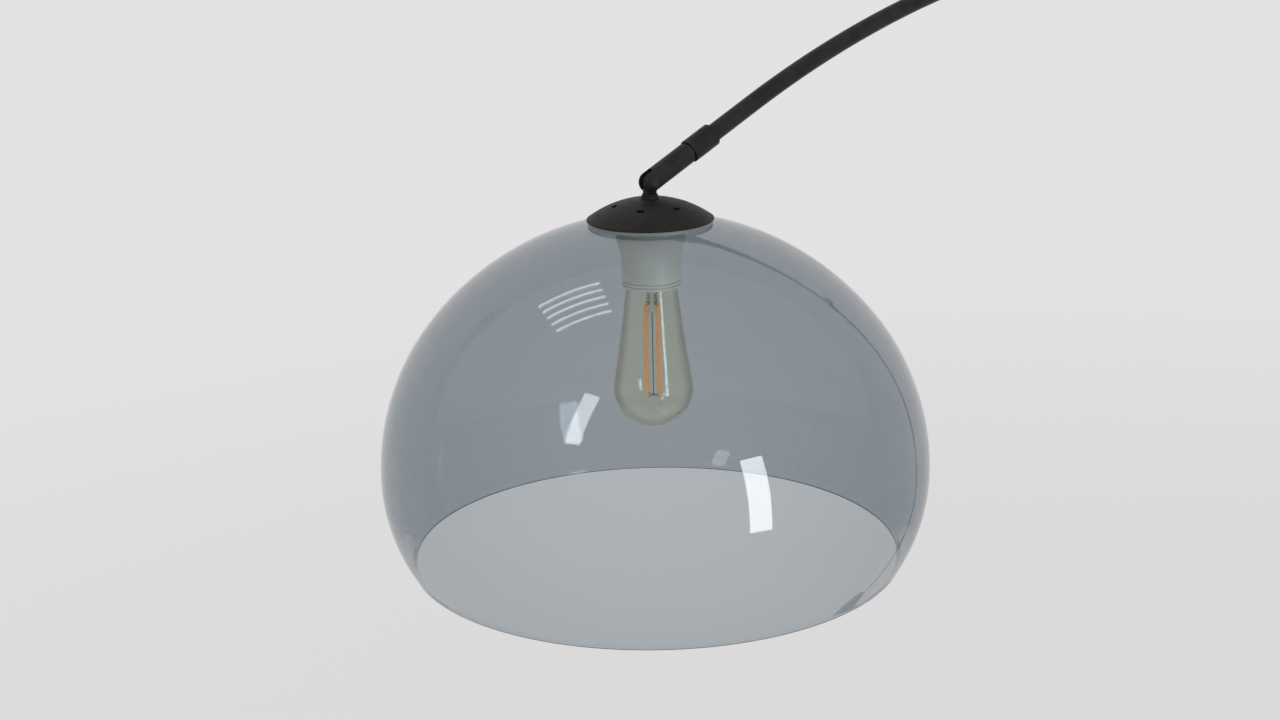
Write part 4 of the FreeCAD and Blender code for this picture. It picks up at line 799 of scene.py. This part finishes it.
class LAMP_OT_bulb(Operator):
    """Blow the teardrop bulb and draw the glass mount inside it"""
    bl_idname = "lamp.bulb"
    bl_label = "Bulb glass"

    def execute(self, context):
        s, place = settings("bulb"), head_place()
        ball, neck, throat = s.ball / 2, s.neck / 2, s.throat / 2
        middle = s.bottom + ball
        rise = s.neck_height - middle
        outer, reach = ball + s.flank, neck ** 2 + rise ** 2
        along = (outer ** 2 + reach - s.flank ** 2) / (2 * reach)
        aside = math.sqrt(outer ** 2 / reach - along ** 2)
        waist = (ball / outer * (along * neck + aside * rise),
                 middle + ball / outer * (along * rise - aside * neck))
        contact, screw = 0.004, 0.021
        shell = s.bottom + s.length - contact - screw
        bend, top, throat_z = neck - throat, shell + screw / 2, shell - 0.0002
        piece = turned("bulb", [
            (0, s.bottom), (*waist, ball), (neck, s.neck_height, -s.flank),
            (neck, throat_z - bend), (throat, throat_z, bend),
            (throat, top), (0, top)], place, steps=128, step=3, closed=False)
        finished(piece, "head", "bulb_glass", "bulb_glass", angle=60)

        stem, low, flare, inside = 0.003, s.mount_end, -0.02, throat - 0.00092
        mount = turned("glass_mount", [
            (0, low), (stem, low + stem, stem), (stem * 0.72, low + 3 * stem, flare),
            (stem * 0.8, top - 0.012), (inside, top - 0.0009, flare), (inside, top), (0, top)],
            place, steps=64, closed=False)
        finished(mount, "head", "mount_glass", "bulb_mount", angle=60)
        return {"FINISHED"}


class LAMP_OT_filaments(Operator):
    """Set the filament sticks on their circle, with their leads above and the anchor below"""
    bl_idname = "lamp.filaments"
    bl_label = "Filaments"

    def execute(self, context):
        s, place = settings("bulb"), head_place()
        radius, reach, thin = s.stick / 2, s.stick_circle / 2, 0.0004
        low, high, mount, tip, cone = s.stick_bottom, s.stick_top, 0.0022, 0.002, 0.0026
        pin, bend, coil, pitch = radius * 0.55, reach * 0.6, 0.0013, 0.0004
        sticks, leads, anchors = [], [], []
        for number in range(s.stick_count):
            bearing = s.stick_turn + number * math.tau / s.stick_count
            spin = place @ Matrix.Rotation(bearing, 4, "Z")
            sticks.append(turned("stick", [
                (0, low), (pin, low), (pin, low + tip), (radius, low + cone, radius),
                (radius, high - cone), (pin, high - tip, radius), (pin, high), (0, high)],
                spin @ Matrix.Translation((reach, 0, 0)), steps=20, step=20, closed=False))
            leads.append(wire("lead", [
                (mount, 0, high + thin), (bend, 0, high + thin),
                (reach, 0, high + 0.0005), (reach, 0, high - 0.0009)], thin, spin))
            leads.append(wire("coil", [
                (mount + 0.0016 + coil * math.cos(turns), coil * math.sin(turns),
                 high + thin + pitch * turns)
                for turns in (step * math.pi / 3 for step in range(19))], thin * 0.7, spin))
            anchors.append(wire("foot_wire", [
                (0, 0, low - thin), (bend, 0, low - 0.0005),
                (reach, 0, low - thin), (reach, 0, low + 0.0012)], thin, spin))
        anchors.append(drum("anchor_post", thin, s.mount_end + 0.002 - low,
                            place @ up(low - thin), 12))
        finished(joined("filament_sticks", sticks), "head", "filament_coating", "filaments")
        finished(joined("upper_leads", leads), "head", "lead_wire", "filament_leads")
        finished(joined("lower_anchor", anchors), "head", "lead_wire", "filament_anchor")
        return {"FINISHED"}


# ---------------------------------------------------------------- pieces of the arm
class LAMP_OT_knuckle(Operator):
    """Make the slotted knuckle rod, the dark groove and the collar at the end of the arm"""
    bl_idname = "lamp.knuckle"
    bl_label = "Swivel knuckle"

    def execute(self, context):
        s, place = settings("arm"), tip_place()
        radius, back, ease, pin = s.rod_diameter / 2, -s.rod_length, 0.0005, 0.004
        front = back - s.groove
        pin_end = front - 0.0076
        rod = turned("knuckle_rod", [
            (0, pin_end), (pin, pin_end), (pin, back), *lower_edge(radius, back, ease),
            (radius, 0), (0, radius, radius)],
            place, steps=96, step=4, closed=False)
        past, sunk, bore = 0.03, 0.0022, 0.01
        slot = brick("slot", (past, s.rod_slot, s.slot_depth + past),
                     (0, 0, (past - s.slot_depth) / 2), place)
        sideways = place @ Matrix.Rotation(-QUARTER, 4, "X")
        pockets = [drum("pocket", 0.00332, bore, sideways @ up(offset))
                   for offset in (radius - sunk, -radius + sunk - bore)]
        carve(rod, [slot] + pockets)
        soften(rod, 0.0002, 50)
        finished(rod, "swivel", "satin_black", "swivel_rod")

        groove = sleeve("groove_disc", 0.0065, PIN_WAY, front + 0.0001, back - 0.0001, place,
                        0.0001, 64)
        finished(groove, "swivel", "nylon", "swivel_washer")

        outer, bore, rear = s.socket_diameter / 2, s.tip_tube / 2 + SLIP, front - s.socket_length
        floor = front - 0.005
        collar = turned("end_collar", [
            (bore, rear), *lower_edge(outer, rear, ease), *upper_edge(outer, front, ease),
            (PIN_WAY, front), (PIN_WAY, floor), (bore, floor)], place)
        hole = drum("hole", 0.00105, 0.012,
                    place @ up(rear + s.socket_length / 3) @ Matrix.Rotation(QUARTER, 4, "Y"), 24)
        carve(collar, [hole])
        finished(collar, "tip", "satin_black", "swivel_collar")
        return {"FINISHED"}


class LAMP_OT_arm(Operator):
    """Bend the three tubes of the arm and turn the ring that it rests on"""
    bl_idname = "lamp.arm"
    bl_label = "Curved arm"

    def execute(self, context):
        s = settings("arm")
        overlap = math.radians(4)
        tail = s.tip_straight - s.rod_length - s.groove - 0.005 - 0.0002
        tubes = (
            ("arm_root", s.root_tube, s.tube_wall, 0, s.root_end, s.root_spigot, "arm", "lower_arc"),
            ("arm_middle", s.middle_tube, s.tube_wall, s.root_end - overlap,
             s.middle_end - s.root_end + overlap, 0, "arm", "upper_arc"),
            ("arm_tip", s.tip_tube, 0.001, s.tip_end,
             s.middle_end - s.tip_insertion - s.tip_end, tail, "tip", "tip_arc"),
        )
        for name, across, wall, at, sweep, straight, body, node in tubes:
            piece = bent_tube(name, across / 2, wall, at, sweep, straight)
            finished(piece, body, "satin_black", node)
        low, root = settings("stand").upper_top + 0.0032, s.root_tube / 2
        ring = sleeve("rest_ring", root + 0.0035, root + SLIP, low, low + 0.014, pole_place(), 0.0012)
        finished(ring, "arm", "satin_black", "yaw_ring")
        return {"FINISHED"}


# ---------------------------------------------------------------- pieces of the stand
class LAMP_OT_poles(Operator):
    """Turn the two poles"""
    bl_idname = "lamp.poles"
    bl_label = "Poles"

    def execute(self, context):
        s = settings("stand")
        for name, across, low, high, body, node in (
                ("pole_lower", s.lower_pole, s.flange_top, s.lower_top, "base", "lower_pole"),
                ("pole_upper", s.upper_pole, s.lower_top - s.insertion, s.upper_top,
                 "upper_pole", "upper_pole")):
            pole = sleeve(name, across / 2, across / 2 - s.pole_wall, low, high, pole_place(), 0.0003)
            finished(pole, body, "satin_black", node)
        return {"FINISHED"}


def knob(name, near, place):
    """A fluted knob on a clamp screw, its screw side at the height "near" of its axis."""
    s = settings("stand")
    grip, far = s.knob_diameter / 2, near + s.knob_thickness
    hub, ease, crown, screw_end = 0.0075, 0.0003, 0.0016, far - 0.00448
    piece = turned(name, [
        (SCREW_WAY, near), *lower_edge(hub, near, ease), (grip - 0.0006, near + 0.0043),
        (grip, near + 0.005, 0.0009), *upper_edge(grip, far, crown), (0, far), (0, screw_end),
        (SCREW_WAY, screw_end)],
        None, steps=160, step=12)
    flute = 0.0045
    reach = grip + flute / 2
    flutes = []
    for number in range(s.flute_count):
        bearing = number * math.tau / s.flute_count
        flutes.append(drum("flute", flute, s.knob_thickness * 3, Matrix.Translation(
            (reach * math.cos(bearing), reach * math.sin(bearing), near - s.knob_thickness)), 40))
    carve(piece, [joined("flutes", flutes)])
    soften(piece, 0.0005, 35, 3)
    return seat(piece, place)


class LAMP_OT_clamps(Operator):
    """Make the pole's clamp collar and both fluted knobs"""
    bl_idname = "lamp.clamps"
    bl_label = "Clamps and knobs"

    def execute(self, context):
        s, arm = settings("stand"), settings("arm")
        outer, height = s.lower_pole / 2, 0.038
        across = pole_place(s.lower_top - height / 2) @ Matrix.Rotation(QUARTER, 4, "Y")
        collar = sleeve("height_collar", outer + COLLAR, outer + SLIP, s.lower_top - height,
                        s.lower_top, pole_place(), 0.0012)
        reach, root = outer + 0.0135, outer + 0.001
        carve(collar, [drum("boss", 0.0075, reach - root, across @ up(root), 64)], "UNION")
        carve(collar, [drum("way", 0.00305, reach + 0.01, across, 32)])
        soften(collar, 0.0005, 50)
        finished(collar, "base", "satin_black", "pole_clamp")
        finished(knob("knob_height", reach + KNOB_GAP, across), "height_clamp", "knob_plastic",
                 "height_knob")

        angle = arm.middle_end - math.radians(0.9)
        spot = ARC_CENTRE + arm.arc_radius * Vector((math.cos(angle), 0, math.sin(angle)))
        sideways = Matrix.Translation(spot) @ Matrix.Rotation(-QUARTER, 4, "X")
        reach = arm.middle_tube / 2 + 0.0125
        finished(knob("knob_arm", reach + KNOB_GAP, sideways), "arm_clamp_knob", "knob_plastic",
                 "arm_knob")
        return {"FINISHED"}


class LAMP_OT_foot(Operator):
    """Turn the stone foot and the steel disc that holds the pole"""
    bl_idname = "lamp.foot"
    bl_label = "Foot"

    def execute(self, context):
        s = settings("stand")
        rim, top, edge, under, bevel = s.base_diameter / 2, s.base_top, s.base_edge, 0.003, 0.002
        stone = turned("stone_foot", [
            (0, under), (rim - bevel, under), (rim, under + bevel),
            *upper_edge(rim, top, edge), (0, top)], None, steps=256, closed=False)
        lead = pole_place(under + 0.013) @ Matrix.Rotation(QUARTER, 4, "Y")
        carve(stone, [drum("recess", 0.026, 0.037, pole_place(under - 0.01), 96),
                      drum("stud_way", 0.0083, 0.1, pole_place(-0.01)),
                      drum("lead_way", 0.005, rim, lead)])
        finished(stone, "base", "black_marble", "base_block")

        outer, pole = s.flange_diameter / 2, s.lower_pole / 2
        plug, plug_top = pole - s.pole_wall - 0.00005, s.flange_top + 0.045
        bore, ease, crest, rounding = 0.00805, 0.0003, top + 0.0025, 0.0006
        disc = turned("foot_disc", [
            (bore, top), *lower_edge(outer, top, ease), *upper_edge(outer, crest, rounding),
            (pole + COLLAR, s.flange_top), (plug, s.flange_top), (plug, plug_top),
            (bore, plug_top)], pole_place(), steps=144)
        finished(disc, "base", "satin_black", "foot_flange")
        return {"FINISHED"}


class LAMP_OT_fittings(Operator):
    """Give every part that keeps its CAD shape its own finish"""
    bl_idname = "lamp.fittings"
    bl_label = "Fittings"

    def execute(self, context):
        kept = {
            "felt": ("felt_pad",),
            "rubber": ("cord_grommet",),
            "zinc_steel": ("foot_stud", "foot_washer", "foot_nut", "stem_nut", "swivel_clip"),
            "nylon": ("pole_guide_bush", "slide_shoe", "swivel_bush", "arm_guide_bush", "tip_shoe",
                      "friction_discs"),
            "satin_black": ("arc_reducer", "arm_clamp"),
            "dark_steel": ("height_screw", "arm_screw", "arm_grub_screws", "collar_grub_screw",
                           "tilt_screw", "tilt_nut"),
            "milky_seal": ("inner_gasket",),
            "core_plastic": ("lampholder_core",),
            "brass": ("screw_shell", "centre_contact"),
            "aluminium": ("bulb_screw_base",),
            "black_glass": ("bulb_insulator",),
            "solder": ("bulb_contact",),
        }
        for name, nodes in kept.items():
            for node in nodes:
                for holder in frame["nodes"][node].material_slots:
                    holder.material = finish_for(name)
        return {"FINISHED"}


# ---------------------------------------------------------------- studio
def area_lamp(name, middle, target, width, height, power):
    """A soft box at a place, facing a target."""
    select_none()
    bpy.ops.object.light_add(type="AREA", location=middle)
    lamp = bpy.context.object
    lamp.name = name
    facing = (target - middle).to_track_quat("-Z", "Y").to_matrix().to_4x4()
    lamp.matrix_world = Matrix.Translation(middle) @ facing
    lamp.data.shape = "RECTANGLE"
    lamp.data.size, lamp.data.size_y = width, height
    lamp.data.energy = power
    lamp.visible_camera = False
    return lamp


def seen_rays(tree):
    """One for rays of the eye, of mirrors and through glass, and nought for lighting rays."""
    rays = add(tree, "LightPath").outputs
    mirrored = calculated(tree, "MAXIMUM", rays["Is Camera Ray"], rays["Is Glossy Ray"])
    return calculated(tree, "MAXIMUM", mirrored, rays["Is Transmission Ray"])


class LAMP_OT_stage(Operator):
    """Set up the pale floor, the soft lamps, the background and the camera"""
    bl_idname = "lamp.stage"
    bl_label = "Studio"

    def execute(self, context):
        head = head_place().translation
        pale = tuple(settings("finish").backdrop)
        select_none()
        bpy.ops.mesh.primitive_circle_add(vertices=96, radius=6.4, fill_type="NGON")
        floor = added("floor")
        finish, tree = new_finish("floor_paint")
        away = add(tree, "VectorMath", {"operation": "LENGTH"}, Vector=own_place(tree))
        fade = add(tree, "MapRange", {"interpolation_type": "SMOOTHSTEP"},
                   Value=away.outputs["Value"], From_Min=1.6, From_Max=6.2)
        matte = add(tree, "BsdfDiffuse", Color=(*(shade * 1.12 for shade in pale), 1))
        backlit = add(tree, "Emission", Color=(*pale, 1), Strength=1.0)
        paper = blended(tree, calculated(tree, "MULTIPLY", seen_rays(tree), 0.55), matte, backlit)
        faded = blended(tree, fade.outputs[0], paper, add(tree, "BsdfTransparent"))
        add(tree, "OutputMaterial", Surface=faded.outputs[0])
        floor.data.materials.append(finish)

        area_lamp("strip_left", head + Vector((-2.004, -0.605, 1.83)), head, 0.30, 1.08, 6.5)
        area_lamp("strip_right", head + Vector((0.154, -2.765, 0.297)), head, 0.45, 1.56, 20)
        ceiling = head + Vector((-0.478, 1.08, 2.456))
        across, down = Vector((0.778, -0.505, 0.372)), Vector((-0.504, -0.815, 0.285))
        for row in range(-2, 3):
            slat = area_lamp("ceiling_slat", ceiling + down * row * 0.2, head, 0.85, 0.055, 0.75)
            side = slat.matrix_world.to_3x3().transposed() @ across
            slat.matrix_world @= Matrix.Rotation(math.atan2(side.y, side.x), 4, "Z")

        world = bpy.data.worlds.new("studio")
        context.scene.world = world
        world.use_nodes = True
        tree = world.node_tree
        tree.nodes.clear()
        shown = add(tree, "Background", Color=(*pale, 1), Strength=1.0)
        light = add(tree, "Background", Color=(0.97, 0.98, 1, 1), Strength=0.7)
        sky = blended(tree, seen_rays(tree), light, shown)
        add(tree, "OutputWorld", Surface=sky.outputs[0])

        bpy.ops.object.camera_add()
        camera = context.object
        camera.name = "camera"
        camera.matrix_world = Matrix((
            (0.80185, 0.18173, -0.56922, head.x - 0.79643),
            (-0.59718, 0.21141, -0.77374, head.y - 1.06671),
            (-0.02027, 0.96035, 0.27804, head.z + 0.46435),
            (0, 0, 0, 1)))
        camera.data.sensor_width = 36
        camera.data.lens = 53.85
        camera.data.clip_end = 60
        context.scene.camera = camera
        context.scene.view_settings.view_transform = "Standard"
        return {"FINISHED"}


STEPS = (LAMP_OT_stage, LAMP_OT_foot, LAMP_OT_poles, LAMP_OT_clamps, LAMP_OT_arm,
         LAMP_OT_knuckle, LAMP_OT_neck, LAMP_OT_cap, LAMP_OT_dome, LAMP_OT_lampholder,
         LAMP_OT_bulb, LAMP_OT_filaments, LAMP_OT_fittings)


class LAMP_PT_pieces(Panel):
    """Lists the pieces of the lamp"""
    bl_idname = "LAMP_PT_pieces"
    bl_label = "Arc Dome Lamp"
    bl_space_type = "VIEW_3D"
    bl_region_type = "UI"
    bl_category = "Arc Lamp"

    def draw(self, context):
        for step in STEPS:
            self.layout.operator(step.bl_idname)
        for group in GROUPS:
            box = self.layout.box()
            box.label(text=group.capitalize())
            for name in GROUPS[group].__annotations__:
                box.prop(settings(group), name)


GROUPS = {"head": LAMP_PG_head, "bulb": LAMP_PG_bulb, "arm": LAMP_PG_arm,
          "stand": LAMP_PG_stand, "finish": LAMP_PG_finish}


def register():
    for kind in (*GROUPS.values(), *STEPS, LAMP_PT_pieces):
        bpy.utils.register_class(kind)
    for group, kind in GROUPS.items():
        setattr(bpy.types.Scene, "lamp_" + group, PointerProperty(type=kind))


def unregister():
    for group in GROUPS:
        delattr(bpy.types.Scene, "lamp_" + group)
    for kind in reversed((*GROUPS.values(), *STEPS, LAMP_PT_pieces)):
        bpy.utils.unregister_class(kind)


def main():
    register()
    for step in STEPS:
        getattr(bpy.ops.lamp, step.bl_idname.split(".")[1])()


if __name__ == "__main__":
    main()
